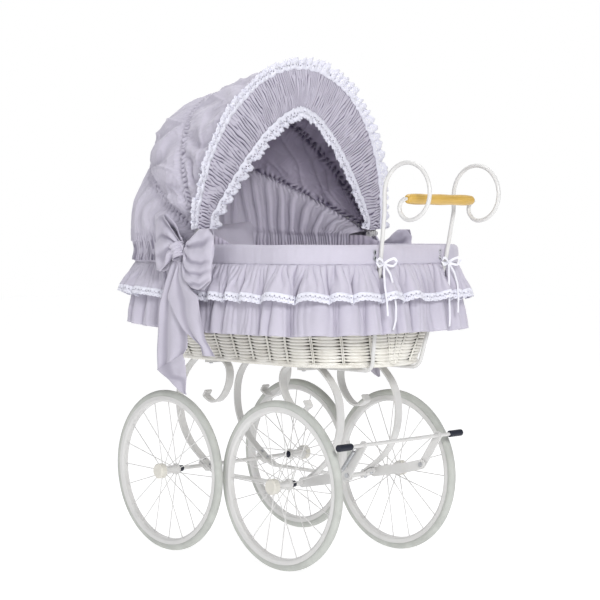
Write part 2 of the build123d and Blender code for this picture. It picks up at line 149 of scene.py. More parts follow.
def tube(line, radius, sides=8, up=(0, 0, 1), closed=False, flat=1.0, twist=0.0):
    """Points of a tube round a line: (n, sides, 3). flat stretches it along up."""
    line = np.asarray(line, float)
    if closed:
        ahead = np.roll(line, -1, 0) - np.roll(line, 1, 0)
    else:
        ahead = np.gradient(line, axis=0)
    ahead = unit(ahead)
    side = unit(np.cross(ahead, np.array(up, float)))
    top = np.cross(side, ahead)
    angle = np.linspace(0, TAU, sides, endpoint=False)[None, :] + twist
    r = np.broadcast_to(np.asarray(radius, float), (len(line),))[:, None, None]
    return line[:, None] + r * (np.cos(angle)[..., None] * side[:, None]
                                + flat * np.sin(angle)[..., None] * top[:, None])


def tubes(name, lines, radius, material, sides=8, closed=False, **options):
    """One piece made of many tubes."""
    verts, faces, start = [], [], 0
    for i, line in enumerate(lines):
        r = radius[i] if isinstance(radius, list) else radius
        ring = tube(line, r, sides, closed=closed, **options)
        n = len(ring)
        verts.append(ring.reshape(-1, 3))
        faces += (grid_faces(n, sides, closed, True) + start).tolist()
        if not closed:
            faces.append(list(range(start, start + sides))[::-1])
            faces.append(list(range(start + (n - 1) * sides, start + n * sides)))
        start += n * sides
    return mesh(name, np.concatenate(verts), faces, material, [len(f) == 4 for f in faces])


def thicken(obj, thickness, offset=0.0):
    """Cloth thickness, as a modifier."""
    mod = obj.modifiers.new("cloth", "SOLIDIFY")
    mod.thickness = thickness
    mod.offset = offset
    return obj


def paint_fold_shade(obj, depth):
    """Marks how far each point lies in a fold, 0 to 1, as painted shade: the cloth's colour is darkened there."""
    values = np.clip(np.asarray(depth, np.float32).ravel(), 0, 1)
    obj.data.attributes.new("fold", "FLOAT", "POINT").data.foreach_set("value", values)


def belongs(piece, body, slot, *nodes):
    """The body a piece rides on, and the CAD nodes that it stands for; slot is not used."""
    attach(piece, body)
    if nodes:
        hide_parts(*nodes)


# ------------------------------------------------------------------ the basket's outline
STRAIGHT_X, STRAIGHT_Y = TOP_OVAL[0] - CORNER, TOP_OVAL[1] - CORNER
QUARTER = math.pi / 2 * CORNER
LENGTHS = [STRAIGHT_Y, QUARTER, 2 * STRAIGHT_X, QUARTER, 2 * STRAIGHT_Y, QUARTER, 2 * STRAIGHT_X, QUARTER, STRAIGHT_Y]
KNOTS = np.concatenate([[0], np.cumsum(LENGTHS)])
PERIMETER = KNOTS[-1]
KNOTS = KNOTS / PERIMETER
OVAL_X = [1, 1, 1, -1, -1, -1, -1, 1, 1, 1]
OVAL_Y = [0, 1, 1, 1, 1, -1, -1, -1, -1, 0]
OVAL_TURN = np.radians([0, 0, 90, 90, 180, 180, 270, 270, 360, 360])


def oval(s, out=0.0, z=0.0, share=1.0):
    """Points round the basket: s is the way round, out the distance outside the wicker, share 1 at the rim
    and 0 at the bottom. s starts in the middle of the handle end and goes to the pusher's right."""
    s = np.asarray(s, float) % 1.0
    across, along, turn = (np.interp(s, KNOTS, k) for k in (OVAL_X, OVAL_Y, OVAL_TURN))
    a = BOTTOM_OVAL[0] + share * (TOP_OVAL[0] - BOTTOM_OVAL[0]) - CORNER
    b = BOTTOM_OVAL[1] + share * (TOP_OVAL[1] - BOTTOM_OVAL[1]) - CORNER
    r = CORNER + out
    x = BASKET_X + across * a + np.cos(turn) * r
    y = along * b + np.sin(turn) * r
    return np.stack(np.broadcast_arrays(x, y, z), -1)


def wall(s, out, z):
    """A point on the flaring wicker wall at height z."""
    share = np.clip((z - FLOOR_Z) / (BAND_Z0 - FLOOR_Z), 0, 1)
    return oval(s, out, z, share)


# ------------------------------------------------------------------ materials
def material(name, color, rough=0.6, metallic=0.0, sheen=0.0, coat=0.0, specular=0.5, subsurface=0.0):
    """A Principled material; returns it with its tree and shader."""
    mat = bpy.data.materials.new(name)
    mat.use_nodes = True
    tree = mat.node_tree
    shader = tree.nodes["Principled BSDF"]
    values = {"Base Color": (*color, 1), "Roughness": rough, "Metallic": metallic, "Sheen Weight": sheen,
              "Sheen Roughness": 0.4, "Coat Weight": coat, "Coat Roughness": 0.12,
              "Specular IOR Level": specular, "Subsurface Weight": subsurface,
              "Subsurface Radius": (0.004, 0.004, 0.004)}
    for socket, value in values.items():
        shader.inputs[socket].default_value = value
    return mat, tree, shader


def node(tree, kind, **inputs):
    n = tree.nodes.new(kind)
    for key, value in inputs.items():
        n.inputs[key.replace("_", " ")].default_value = value
    return n


def place(tree, scale=(1, 1, 1), rotation=(0, 0, 0)):
    """Object coordinates, stretched."""
    coord = tree.nodes.new("ShaderNodeTexCoord")
    mapping = tree.nodes.new("ShaderNodeMapping")
    mapping.inputs["Scale"].default_value = scale
    mapping.inputs["Rotation"].default_value = rotation
    tree.links.new(coord.outputs["Object"], mapping.inputs["Vector"])
    return mapping.outputs["Vector"]


def mottle(tree, vector, scale, detail=3.0, roughness=0.55):
    n = node(tree, "ShaderNodeTexNoise", Scale=scale, Detail=detail, Roughness=roughness)
    tree.links.new(vector, n.inputs["Vector"])
    return n.outputs["Fac"]


def ramp(tree, value, stops):
    n = tree.nodes.new("ShaderNodeValToRGB")
    elements = n.color_ramp.elements
    while len(elements) < len(stops):
        elements.new(0.5)
    for element, (position, color) in zip(elements, stops):
        element.position = position
        element.color = (*color, 1) if len(color) == 3 else color
    tree.links.new(value, n.inputs["Fac"])
    return n.outputs["Color"]


def math_node(tree, operation, a, b):
    n = tree.nodes.new("ShaderNodeMath")
    n.operation = operation
    for socket, value in zip(n.inputs, (a, b)):
        if isinstance(value, (int, float)):
            socket.default_value = value
        else:
            tree.links.new(value, socket)
    return n.outputs[0]


def scaled(tree, value, share, plus):
    """value times share, plus a number or another value."""
    return math_node(tree, "ADD", math_node(tree, "MULTIPLY", value, share), plus)


def paint(tree, shader, value, stops):
    """Base colour by a value."""
    tree.links.new(ramp(tree, value, stops), shader.inputs["Base Color"])


def bump(tree, shader, height, strength, distance):
    n = node(tree, "ShaderNodeBump", Strength=strength, Distance=distance)
    tree.links.new(height, n.inputs["Height"])
    tree.links.new(n.outputs["Normal"], shader.inputs["Normal"])


def tint(color, k):
    return tuple(min(1.0, c * k) for c in color)


# painted shade for the folds of the cotton
FOLD_SHADE = (0.26, 0.24, 0.31)     # how much of each colour is left at the bottom of a fold


def cotton(name, color, thread=0.0011, variation=0.06, bump_strength=0.25, rough=0.82, sheen=0.25, through=0.0):
    """Plain woven cotton: crossed threads, slubs, slow changes of tone, and painted shade darkening its folds."""
    mat, tree, shader = material(name, color, rough=rough, sheen=sheen, specular=0.25, subsurface=through)
    waves = []
    for turn in ((0, 0, 0), (0, math.radians(90), 0), (0, 0, math.radians(90))):
        w = node(tree, "ShaderNodeTexWave", Scale=1 / thread / 20, Distortion=1.5, Detail=1.0, Detail_Scale=0.6)
        tree.links.new(place(tree, (6.28, 6.28, 6.28), turn), w.inputs["Vector"])
        waves.append(w.outputs["Fac"])
    weave = math_node(tree, "ADD", math_node(tree, "ADD", waves[0], waves[1]), waves[2])
    slub = mottle(tree, place(tree, (1, 1, 6)), 160.0, 2.0)
    slow = mottle(tree, place(tree), 9.0, 4.0)
    shade = scaled(tree, slow, 0.65, math_node(tree, "MULTIPLY", slub, 0.35))
    lit = ramp(tree, shade, [(0.3, tint(color, 1 - variation)), (0.7, tint(color, 1 + variation))])
    # painted shade: the fold attribute mixes the colour towards FOLD_SHADE in creases and folds
    fold = tree.nodes.new("ShaderNodeAttribute")
    fold.attribute_name = "fold"
    mix = tree.nodes.new("ShaderNodeMix")
    mix.data_type = "RGBA"
    mix.inputs["B"].default_value = (*(c * k for c, k in zip(color, FOLD_SHADE)), 1)
    tree.links.new(fold.outputs["Fac"], mix.inputs["Factor"])
    tree.links.new(lit, mix.inputs["A"])
    tree.links.new(mix.outputs["Result"], shader.inputs["Base Color"])
    height = scaled(tree, weave, 0.3, slub)
    bump(tree, shader, height, bump_strength, 0.0006)
    return mat


def metal_paint(name, color, rough=0.32):
    """Powder coat: fine orange peel, slight grey wear in patches."""
    mat, tree, shader = material(name, color, rough=rough, coat=0.35, specular=0.5)
    patches = mottle(tree, place(tree), 14.0, 6.0, 0.6)
    paint(tree, shader, patches, [(0.28, tint(color, 0.93)), (0.5, color), (0.75, tint(color, 1.03))])
    fine = mottle(tree, place(tree), 420.0, 2.0)
    gloss = scaled(tree, patches, 0.2, rough - 0.08)
    tree.links.new(gloss, shader.inputs["Roughness"])
    bump(tree, shader, fine, 0.12, 0.0004)
    return mat


def rubber(name, color, rough, grain=600.0, strength=0.3, spread=0.1):
    mat, tree, shader = material(name, color, rough=rough, specular=0.35)
    cloud = mottle(tree, place(tree), 22.0, 5.0)
    grains = mottle(tree, place(tree), grain, 2.0)
    paint(tree, shader, cloud, [(0.3, tint(color, 1 - spread)), (0.7, tint(color, 1 + spread))])
    tree.links.new(scaled(tree, cloud, 0.2, rough - 0.1),
                   shader.inputs["Roughness"])
    bump(tree, shader, grains, strength, 0.0004)
    return mat


def turned_wood(name):
    amber = (0.57, 0.355, 0.065)
    mat, tree, shader = material(name, amber, rough=0.38, coat=0.4)
    grain = mottle(tree, place(tree, (90, 5, 90)), 3.0, 6.0, 0.65)
    pores = mottle(tree, place(tree, (260, 14, 260)), 4.0, 3.0, 0.6)
    paint(tree, shader, grain, [(0.25, tint(amber, 0.72)), (0.45, amber), (0.7, (0.66, 0.43, 0.10))])
    tree.links.new(scaled(tree, grain, 0.25, 0.25), shader.inputs["Roughness"])
    bump(tree, shader, math_node(tree, "ADD", grain, pores), 0.25, 0.0003)
    return mat


def steel(name, color=(0.55, 0.56, 0.58)):
    mat, tree, shader = material(name, color, rough=0.34, metallic=0.9)
    streak = mottle(tree, place(tree, (1, 1, 8)), 130.0, 4.0)
    paint(tree, shader, streak, [(0.3, tint(color, 0.8)), (0.7, tint(color, 1.1))])
    tree.links.new(scaled(tree, streak, 0.3, 0.2), shader.inputs["Roughness"])
    bump(tree, shader, streak, 0.15, 0.0002)
    return mat


def willow(name):
    """White-washed willow: paint with the peel's long grain and greyer cracks."""
    base = (0.78, 0.76, 0.70)
    mat, tree, shader = material(name, base, rough=0.5, coat=0.15)
    grain = mottle(tree, place(tree, (1, 1, 5)), 120.0, 5.0, 0.7)
    patches = mottle(tree, place(tree), 26.0, 4.0)
    mixed = scaled(tree, grain, 0.5, math_node(tree, "MULTIPLY", patches, 0.5))
    paint(tree, shader, mixed, [(0.3, (0.60, 0.57, 0.50)), (0.48, base), (0.7, (0.86, 0.85, 0.81))])
    bump(tree, shader, grain, 0.35, 0.0006)
    return mat


LAVENDER = (0.545, 0.520, 0.605)
MAT = {
    "cloth": cotton("lavender_cotton", LAVENDER),
    "lining": cotton("lining_cotton", (0.53, 0.49, 0.59)),
    "pleats": cotton("pleated_cotton", (0.65, 0.62, 0.71)),
    # painted shade: near-black brown for the sheet that shows as shade through the wicker's gaps
    "shade_sheet": cotton("painted_shade_brown", (0.075, 0.062, 0.052), thread=0.0016),
    "sheet": cotton("white_cotton", (0.78, 0.78, 0.82), variation=0.03),
    "lace": cotton("eyelet_lace", (0.80, 0.80, 0.89), thread=0.0008, variation=0.03, bump_strength=0.5, through=0.1),
    "satin": cotton("white_satin", (0.84, 0.84, 0.90), thread=0.0006, rough=0.34, sheen=0.5, variation=0.02),
    "wicker": willow("white_willow"),
    "paint": metal_paint("white_powder_coat", (0.66, 0.655, 0.645)),
    "plastic": rubber("cream_plastic", (0.68, 0.66, 0.60), 0.35, strength=0.1, spread=0.04),
    "tyre": rubber("pale_tyre", (0.50, 0.515, 0.485), 0.72, strength=0.4),
    "black": rubber("black_rubber", (0.012, 0.015, 0.028), 0.5),
    "wood": turned_wood("amber_wood"),
    "steel": steel("zinc_steel"),
}

SLOT_MATERIAL = {
    "white_metal": "paint", "cream_plastic": "plastic", "steel": "steel", "tyre": "tyre",
    "black_rubber": "black", "grip_wood": "wood", "wicker": "wicker", "lavender_cotton": "cloth",
    "lining_cotton": "lining", "white_cotton": "sheet", "white_satin": "satin",
}
for part in frame["record"]["subparts"]:
    obj = frame["nodes"][part["node"]]
    obj.data.materials.clear()
    obj.data.materials.append(MAT[SLOT_MATERIAL[part["material_slot"]]])

# ------------------------------------------------------------------ woven basket
STAKES = 32                 # pairs of stakes that show; a stouter one hides between each two pairs
ROW_PITCH = 0.0077
FIRST_ROW = 0.012           # height of the lowest woven row over the basket's bottom
LAST_ROW_Z = TOP_Z - 0.008


def basket():
    around = np.linspace(0, 1, STAKES * 14, endpoint=False)
    beat = np.cos(TAU * STAKES * around)
    at_stake = np.exp(-((((around * STAKES + 0.5) % 1.0) - 0.5) / 0.17) ** 2)
    rows, sizes = [], []
    z = FLOOR_Z + FIRST_ROW
    k = 0
    while z < LAST_ROW_Z:
        rough = noise(around * 40, k * 1.7, 3, 40)
        out = -0.0042 - 0.0021 * beat + 0.0004 * rough
        height = z + 0.0006 * noise(around * 24, k * 1.3, 4, 24) + 0.0005 * rough
        rows.append(wall(around, out, height))
        sizes.append(0.0031 - 0.0016 * at_stake + 0.0002 * rough)
        z += ROW_PITCH
        k += 1
    weave = tubes("wicker_weave", rows, sizes, MAT["wicker"], 8, closed=True, flat=1.32)

    stakes, widths = [], []
    heights = np.linspace(FLOOR_Z + 0.004, TOP_Z - 0.004, 30)
    for i in range(STAKES):
        for shift, out, r in ((-0.0019, -0.0038, 0.0016), (0.0019, -0.0038, 0.0016),
                              (0.5 / STAKES, -0.0062, 0.0021)):
            s = (i / STAKES + (shift / PERIMETER if abs(shift) < 0.01 else shift)) % 1.0
            lean = 0.0006 * noise(heights * 30, i * 1.0, 5)
            stakes.append(wall(s + lean, out, heights))
            widths.append(r)
    upright = tubes("wicker_stakes", stakes, widths, MAT["wicker"], 7)

    turns = 150
    fine = np.linspace(0, 1, turns * 10, endpoint=False)
    ropes = []
    for phase in (0, np.pi * 2 / 3, np.pi * 4 / 3):
        angle = TAU * turns * fine + phase
        ropes.append(wall(fine, -0.0035 + 0.0027 * np.cos(angle), FLOOR_Z + 0.0062 + 0.0027 * np.sin(angle)))
    border = tubes("wicker_border", ropes, 0.0028, MAT["wicker"], 7, closed=True)

    # floor: long rods over and under cross stakes
    floor = []
    corner_x, corner_y = BOTTOM_OVAL[0] - CORNER, BOTTOM_OVAL[1] - CORNER
    inset = 0.004
    for i, y in enumerate(np.arange(-BOTTOM_OVAL[1] + 0.008, BOTTOM_OVAL[1] - 0.004, ROW_PITCH)):
        past = max(0.0, abs(y) - corner_y)
        reach = corner_x + math.sqrt(max(0.0, (CORNER - inset) ** 2 - past ** 2))
        x = np.arange(-reach, reach, 0.0085)
        wave = 0.0016 * np.cos(np.pi * x / 0.034 + np.pi * i)
        floor.append(np.stack([BASKET_X + x, np.full_like(x, y), FLOOR_Z + 0.0048 + wave], 1))
    for x in np.arange(-BOTTOM_OVAL[0] + 0.028, BOTTOM_OVAL[0] - 0.02, 0.034):
        past = max(0.0, abs(x) - corner_x)
        reach = corner_y + math.sqrt(max(0.0, (CORNER - inset) ** 2 - past ** 2))
        y = np.linspace(-reach, reach, 24)
        floor.append(np.stack([np.full_like(y, BASKET_X + x), y, np.full_like(y, FLOOR_Z + 0.0048)], 1))
    base = tubes("wicker_floor", floor, 0.0026, MAT["wicker"], 6)
    for piece in (weave, upright, border, base):
        belongs(piece, "pram", "wicker")
    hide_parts("wicker_basket")


basket()


# ------------------------------------------------------------------ padded rim band
SECTION_TALL = 0.046        # height that the band's section is drawn for
SECTION_FRONT = 12          # points of the section that show
SEAM_DEPTH = 0.0016


def rim_band():
    """A padded, fabric-covered rim: a rounded section swept round, with seams and puckers."""
    n = 1200
    around = np.linspace(0, 1, n, endpoint=False)
    z_mid = (BAND_Z0 + BAND_Z1) / 2
    tall = BAND_Z1 - BAND_Z0
    section = [(0.0012, 0.000), (0.0070, 0.0006), (0.0096, 0.004), (0.0106, 0.011), (0.0110, 0.020), (0.0108, 0.029),
               (0.0098, 0.037), (0.0070, 0.0425), (0.0020, 0.0452), (-0.0040, 0.0456), (-0.0098, 0.0440),
               (-0.0132, 0.0395), (-0.0140, 0.0345), (-0.0125, 0.0330), (-0.0060, 0.0350), (0.0004, 0.0345),
               (0.0006, 0.024), (0.0006, 0.012), (0.0006, 0.003)]
    section = np.array(section) * (1, tall / SECTION_TALL)
    points = np.zeros((n, len(section), 3))
    puff = 0.0007 * noise(around * 60, 0.0, 11, 60) + 0.0004 * noise(around * 210, 0.0, 12, 210)
    for k, (out, up) in enumerate(section):
        outer = max(0.0, min(1.0, out / 0.008)) if k < SECTION_FRONT else 0.0
        crease = 0.0005 * noise(around * 300, k * 0.35, 13, 300) * outer
        sag = 0.0008 * noise(around * 24, 0.0, 14, 24) * (up / tall)
        points[:, k] = oval(around, out + puff * outer + crease, BAND_Z0 + up + sag)
    seams = [0.046, 0.318, 0.682, 0.954]
    for s in seams:
        near = np.exp(-((((around - s + 0.5) % 1.0) - 0.5) * PERIMETER / 0.0016) ** 2)[:, None, None]
        centre = oval(around, 0.0, z_mid)[:, None]
        normal = unit(oval(around, 1.0, z_mid) - oval(around, 0.0, z_mid))[:, None]
        points = points - normal * near * SEAM_DEPTH
    band = grid("rim_band_cover", points, MAT["cloth"], True, True)
    belongs(band, "pram", "lavender_cotton", "rim_band")


rim_band()


def eyelets():
    """Two metal eyelets beside each handle rod, one over the other, for the ties."""
    turn = np.linspace(0, TAU, 24, endpoint=False)
    x = band_hi.x + 0.0012
    rings, hole_shades = [], []
    for y in (-0.1245, 0.0985):
        for z in (BAND_Z0 + 0.015, BAND_Z0 + 0.029):
            circle = np.stack([np.full(24, x), y + 0.0036 * np.cos(turn), z + 0.0048 * np.sin(turn)], 1)
            rings.append(circle)
            hole_shades.append(circle - (0.0005, 0, 0))
    ring = tubes("band_eyelets", rings, 0.0010, MAT["steel"], 8, up=(1, 0, 0), closed=True)
    # painted shade: the near-black discs just inside the rings stand in for the dark inside of the holes
    hole = mesh("band_eyelet_holes", np.concatenate(hole_shades), [list(range(24 * k, 24 * k + 24)) for k in range(4)],
                MAT["black"], False)
    for piece, slot in ((ring, "steel"), (hole, "black_rubber")):
        belongs(piece, "pram", slot)


eyelets()

# ------------------------------------------------------------------ gathered ruffles
ROD_GAP_Y = 0.1115          # where each handle rod passes behind the skirt, from the middle
GATHERS = 180               # fine gathers at the seam
FOLDS = 36                  # broad folds at the hem


class Ruffle:
    """A gathered frill under the band: surface(s, v) from the seam (v 0) to the hem (v 1)."""

    def __init__(self, z_top, z_hem, out_top, out_hem, fold_depth, seed, droop, lift, gather=1.0):
        self.z_top, self.z_hem = z_top, z_hem
        self.out_top, self.out_hem = out_top, out_hem
        self.depth, self.seed, self.droop, self.lift, self.gather = fold_depth, seed, droop, lift, gather

    def surface(self, s, v):
        s, v = np.broadcast_arrays(np.asarray(s, float), np.asarray(v, float))
        seed = self.seed
        drift = 0.55 * noise(s * 29, v * 0, seed, 29) + 0.30 * noise(s * 13, v * 0, seed + 1, 13)
        phase = TAU * (FOLDS * s + drift)
        wide = np.cos(phase) + 0.30 * np.cos(2 * phase + 0.9 + 2 * drift) - 0.1
        size = 0.66 + 0.34 * noise(s * 23, v * 0, seed + 2, 23)
        open_up = ease(v, 0.0, 0.85)
        broad = self.depth * size * wide * open_up
        fine_phase = TAU * (GATHERS * s + 0.7 * noise(s * 80, v * 1.6, seed + 3, 80) + 0.5 * drift * v)
        near_seam = np.exp(-v / 0.42)
        strong = (0.65 + 0.35 * noise(s * 60, v * 2, seed + 8, 60)) * self.gather
        fine = 0.0030 * near_seam * strong * ease(v, 0.0, 0.08) * np.cos(fine_phase) + 0.0008 * np.cos(fine_phase)
        mid_phase = TAU * (87 * s + 0.8 * noise(s * 45, v * 0.7, seed + 4, 45))
        mid = 0.0042 * self.gather * np.sin(np.pi * np.clip(0.12 + v * 0.75, 0, 1)) * np.cos(mid_phase)
        mid = mid * (0.6 + 0.4 * noise(s * 40, v * 2, seed + 5, 40))
        crumple = 0.0007 * noise(s * 320, v * 9, seed + 6, 320)
        out = self.out_top + (self.out_hem - self.out_top) * v ** 0.85 + broad + fine + mid + crumple
        slide = 0.75 * self.depth * size * np.sin(phase) * open_up + 0.0030 * near_seam * np.sin(fine_phase)
        head_end = 0.5 - 0.5 * np.cos(TAU * s)
        up = self.lift[0] + (self.lift[1] - self.lift[0]) * head_end ** 2
        middle = np.abs(np.sin(TAU * s))
        up = up * (1 - 0.75 * middle ** 2)
        z = self.z_top + (self.z_hem + up - self.z_top) * v + self.droop * wide * size * open_up
        # painted shade: darkness of the fine gathers by the seam and of the broad fold valleys, laid on the cloth's
        # colour
        self.crease_shade = (0.80 * ease(-np.cos(fine_phase), 0.15, 0.95) * near_seam * strong
                       + 0.42 * ease(-wide, 0.05, 1.1) * open_up * size)
        return oval(s + slide / PERIMETER, out, z)

    def piece(self, name, v_end, slit_end, columns=2600, rows=30):
        """The cloth down to v_end, parted round each handle rod from the seam down to slit_end."""
        s = np.linspace(0, 1, columns, endpoint=False)[:, None]
        v = (np.linspace(0, 1, rows) ** 1.25 * v_end)[None, :]
        points = self.surface(s, v)
        y, x = points[..., 1], points[..., 0]
        at_rod = (x > BASKET_X + STRAIGHT_X) & (np.abs(np.abs(y) - ROD_GAP_Y) < 0.0065) & (v < slit_end)
        keep = ~(at_rod & np.roll(at_rod, -1, 0))[:, :-1]
        cloth = grid(name, points, MAT["cloth"], True, keep=keep)
        paint_fold_shade(cloth, self.crease_shade)
        thicken(cloth, 0.0009)
        belongs(cloth, "pram", "lavender_cotton")
        return cloth


# ------------------------------------------------------------------ eyelet lace
LACE_UNIT = 0.0115          # one scallop
HOLES = [(0.50, 0.40, 0.0019), (0.10, 0.56, 0.0009), (0.90, 0.56, 0.0009), (0.5, 0.80, 0.0008)]


def lace_unit(width):
    """A flat patch of eyelet lace, 1 wide and 1 tall: a scalloped hem and holes. Returns its points
    and triangles."""
    edge = [(0, 0), (0.25, 0), (0.5, 0), (0.75, 0), (1, 0), (1, 0.25), (1, 0.5), (1, 0.72), (1, 0.86)]
    edge += [(0.5 + 0.5 * math.cos(a), 0.86 + 0.14 * math.sin(a)) for a in np.linspace(0, math.pi, 9)[1:-1]]
    edge += [(0, 0.86), (0, 0.72), (0, 0.5), (0, 0.25)]
    rings, loops = list(edge), [list(range(len(edge)))]
    for x, y, r in HOLES:
        if not 0.15 < x < 0.85:
            continue
        start = len(rings)
        rings += [(x + r / LACE_UNIT * math.cos(a), y + r / width * math.sin(a))
                  for a in np.linspace(0, TAU, 11)[:-1]]
        loops.append(list(range(start, len(rings))))
    holes = len(rings)
    rings += [(0.25, 0.2), (0.5, 0.15), (0.75, 0.2), (0.2, 0.45), (0.8, 0.45),
              (0.25, 0.68), (0.75, 0.68), (0.5, 0.62)]
    edges = [(l[i], l[(i + 1) % len(l)]) for l in loops for i in range(len(l))]
    out = delaunay_2d_cdt([Vector(p) for p in rings], edges, [], 0, 1e-6)
    points, faces = [tuple(p) for p in out[0]], []
    for f in out[2]:
        cx = sum(points[i][0] for i in f) / len(f)
        cy = sum(points[i][1] for i in f) / len(f)
        in_hole = any(math.hypot((cx - x) * LACE_UNIT, (cy - y) * width) < r * 0.96 for x, y, r in HOLES)
        past_hem = cy > 0.86 and ((cx - 0.5) / 0.5) ** 2 + ((cy - 0.86) / 0.14) ** 2 > 1
        if not in_hole and not past_hem:
            faces.append(f)
    return np.array(points), faces


def lace(name, surface, s0, s1, v0, v1, width, offset, loop=False, samples=6000):
    """Lace along a curve of a surface: surface(s, v) at v0 to v1, one scallop after another by cloth length."""
    s = np.linspace(s0, s1, samples)
    hem = surface(s, (v0 + v1) / 2)
    along = np.concatenate([[0], np.cumsum(np.linalg.norm(np.diff(hem, axis=0), axis=1))])
    count = int(along[-1] / LACE_UNIT)
    points, faces = lace_unit(width)
    verts, tris = [], []
    for k in range(count):
        u = (k + points[:, 0]) * along[-1] / count
        verts.append(np.stack([np.interp(u, along, s), v0 + points[:, 1] * (v1 - v0)], 1))
        tris += [[i + k * len(points) for i in f] for f in faces]
    flat = np.concatenate(verts)
    d = 1e-4
    here = surface(flat[:, 0], flat[:, 1])
    du = surface(flat[:, 0] + d, flat[:, 1]) - surface(flat[:, 0] - d, flat[:, 1])
    dv = surface(flat[:, 0], flat[:, 1] + d) - surface(flat[:, 0], flat[:, 1] - d)
    normal = unit(np.cross(du, dv))
    here = here + normal * offset
    obj = mesh(name, here, [[0, 0, 0]] * 0, MAT["lace"])
    me = obj.data
    me.clear_geometry()
    me.from_pydata(here.tolist(), [], tris)
    me.polygons.foreach_set("use_smooth", [True] * len(me.polygons))
    me.update()
    bm_merge(obj)
    thicken(obj, 0.0007)
    return obj


def bm_merge(obj):
    """Joins the points that two neighbouring scallops share."""
    bm = bmesh.new()
    bm.from_mesh(obj.data)
    bmesh.ops.remove_doubles(bm, verts=bm.verts, dist=2e-5)
    bm.to_mesh(obj.data)
    bm.free()


UPPER = Ruffle(BAND_Z0 + 0.001, 0.630, 0.0065, 0.041, 0.0150, 21, 0.0062, (0.006, 0.022))
LOWER = Ruffle(BAND_Z0 - 0.012, 0.552, 0.0042, 0.0265, 0.0135, 41, 0.0024, (0.010, 0.034), 0.4)
upper = UPPER.piece("ruffle_upper", 0.82, 0.34)
lower = LOWER.piece("ruffle_lower", 1.0, 0.20)
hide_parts("upper_ruffle")
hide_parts("lower_ruffle")
upper_lace = lace("ruffle_lace", UPPER.surface, 0, 1, 0.77, 1.0, 0.021, -0.0009)
belongs(upper_lace, "pram", "white_cotton")


# ------------------------------------------------------------------ liner, mattress, pillow
def liner():
    """The lining inside the basket: pulled over the rim and gathered a little down the wall."""
    n = 900
    s = np.linspace(0, 1, n, endpoint=False)[:, None]
    mattress_lo, mattress_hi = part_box("mattress")
    v = np.linspace(0, 1, 26)[None, :]
    near_pivot = np.exp(-((oval(s[:, 0])[:, 0] - PIVOT.x + 0.045) / 0.11) ** 4)[:, None]
    top = BAND_Z1 - 0.012 + 0.034 * near_pivot
    z = top + (mattress_lo.z + 0.004 - top) * v
    folds = 0.0016 * np.cos(TAU * (120 * s + 0.5 * noise(s * 60, v * 2, 51, 60))) * (0.3 + 0.7 * np.exp(-v / 0.2))
    slack = 0.0015 * noise(s * 40, v * 4, 52, 40)
    out = -0.0118 + folds + slack - 0.001 * v
    points = wall(s + 0 * v, out, z + 0 * s)
    cloth = grid("basket_lining", points, MAT["lining"], True)
    thicken(cloth, 0.0008)
    belongs(cloth, "pram", "lining_cotton", "liner")
    return cloth


lining_wall = liner()


def weave_shade_backing():
    """A dark brown sheet between the wicker and the lining: painted shade that shows through the gaps of the weave."""
    s = np.linspace(0, 1, 240, endpoint=False)[:, None]
    z = np.linspace(FLOOR_Z + 0.012, BAND_Z0 + 0.01, 12)[None, :]
    points = wall(s + 0 * z, -0.0092 + 0.0004 * noise(s * 40, z * 60, 55, 40), z + 0 * s)
    cloth = grid("basket_painted_shade", points, MAT["shade_sheet"], True)
    thicken(cloth, 0.0006)
    belongs(cloth, "pram", "lining_cotton")
    return cloth


shade_sheet = weave_shade_backing()


def remesh(obj, size):
    mod = obj.modifiers.new("remesh", "REMESH")
    mod.mode = "VOXEL"
    mod.voxel_size = size
    apply_modifiers(obj)


def apply_modifiers(obj):
    graph = bpy.context.evaluated_depsgraph_get()
    graph.update()
    baked = bpy.data.meshes.new_from_object(obj.evaluated_get(graph))
    old = obj.data
    obj.modifiers.clear()
    obj.data = baked
    if not baked.materials:
        baked.materials.append(old.materials[0])
    baked.polygons.foreach_set("use_smooth", [True] * len(baked.polygons))


def inflate(obj, pressure, frames, cap, pins=None):
    """Swells a closed mesh as stuffed cloth, with each point's travel capped."""
    rest = np.array([v.co for v in obj.data.vertices])
    mod = obj.modifiers.new("cloth_sim", "CLOTH")
    st = mod.settings
    st.quality = 6
    st.mass = 0.25
    st.tension_stiffness = 25
    st.compression_stiffness = 20
    st.bending_stiffness = 0.3
    st.use_pressure = True
    st.uniform_pressure_force = pressure
    st.effector_weights.gravity = 0
    scene = bpy.context.scene
    for f in range(1, frames + 1):
        scene.frame_set(f)
    graph = bpy.context.evaluated_depsgraph_get()
    moved = np.array([v.co for v in obj.evaluated_get(graph).data.vertices])
    obj.modifiers.remove(mod)
    scene.frame_set(1)
    step = moved - rest
    length = np.linalg.norm(step, axis=1, keepdims=True)
    step = step * np.minimum(1, cap / np.maximum(length, 1e-9))
    obj.data.vertices.foreach_set("co", (rest + step).ravel())
    obj.data.update()


def slab(name, length, width, height, radius, material):
    """A rounded slab about the origin."""
    bm = bmesh.new()
    bmesh.ops.create_cube(bm, size=1.0)
    bmesh.ops.scale(bm, vec=(length, width, height), verts=bm.verts)
    bmesh.ops.bevel(bm, geom=bm.edges[:] + bm.verts[:], offset=radius, segments=4, profile=0.5, affect="EDGES")
    me = bpy.data.meshes.new(name)
    bm.to_mesh(me)
    bm.free()
    me.materials.append(material)
    obj = bpy.data.objects.new(name, me)
    bpy.context.scene.collection.objects.link(obj)
    return obj


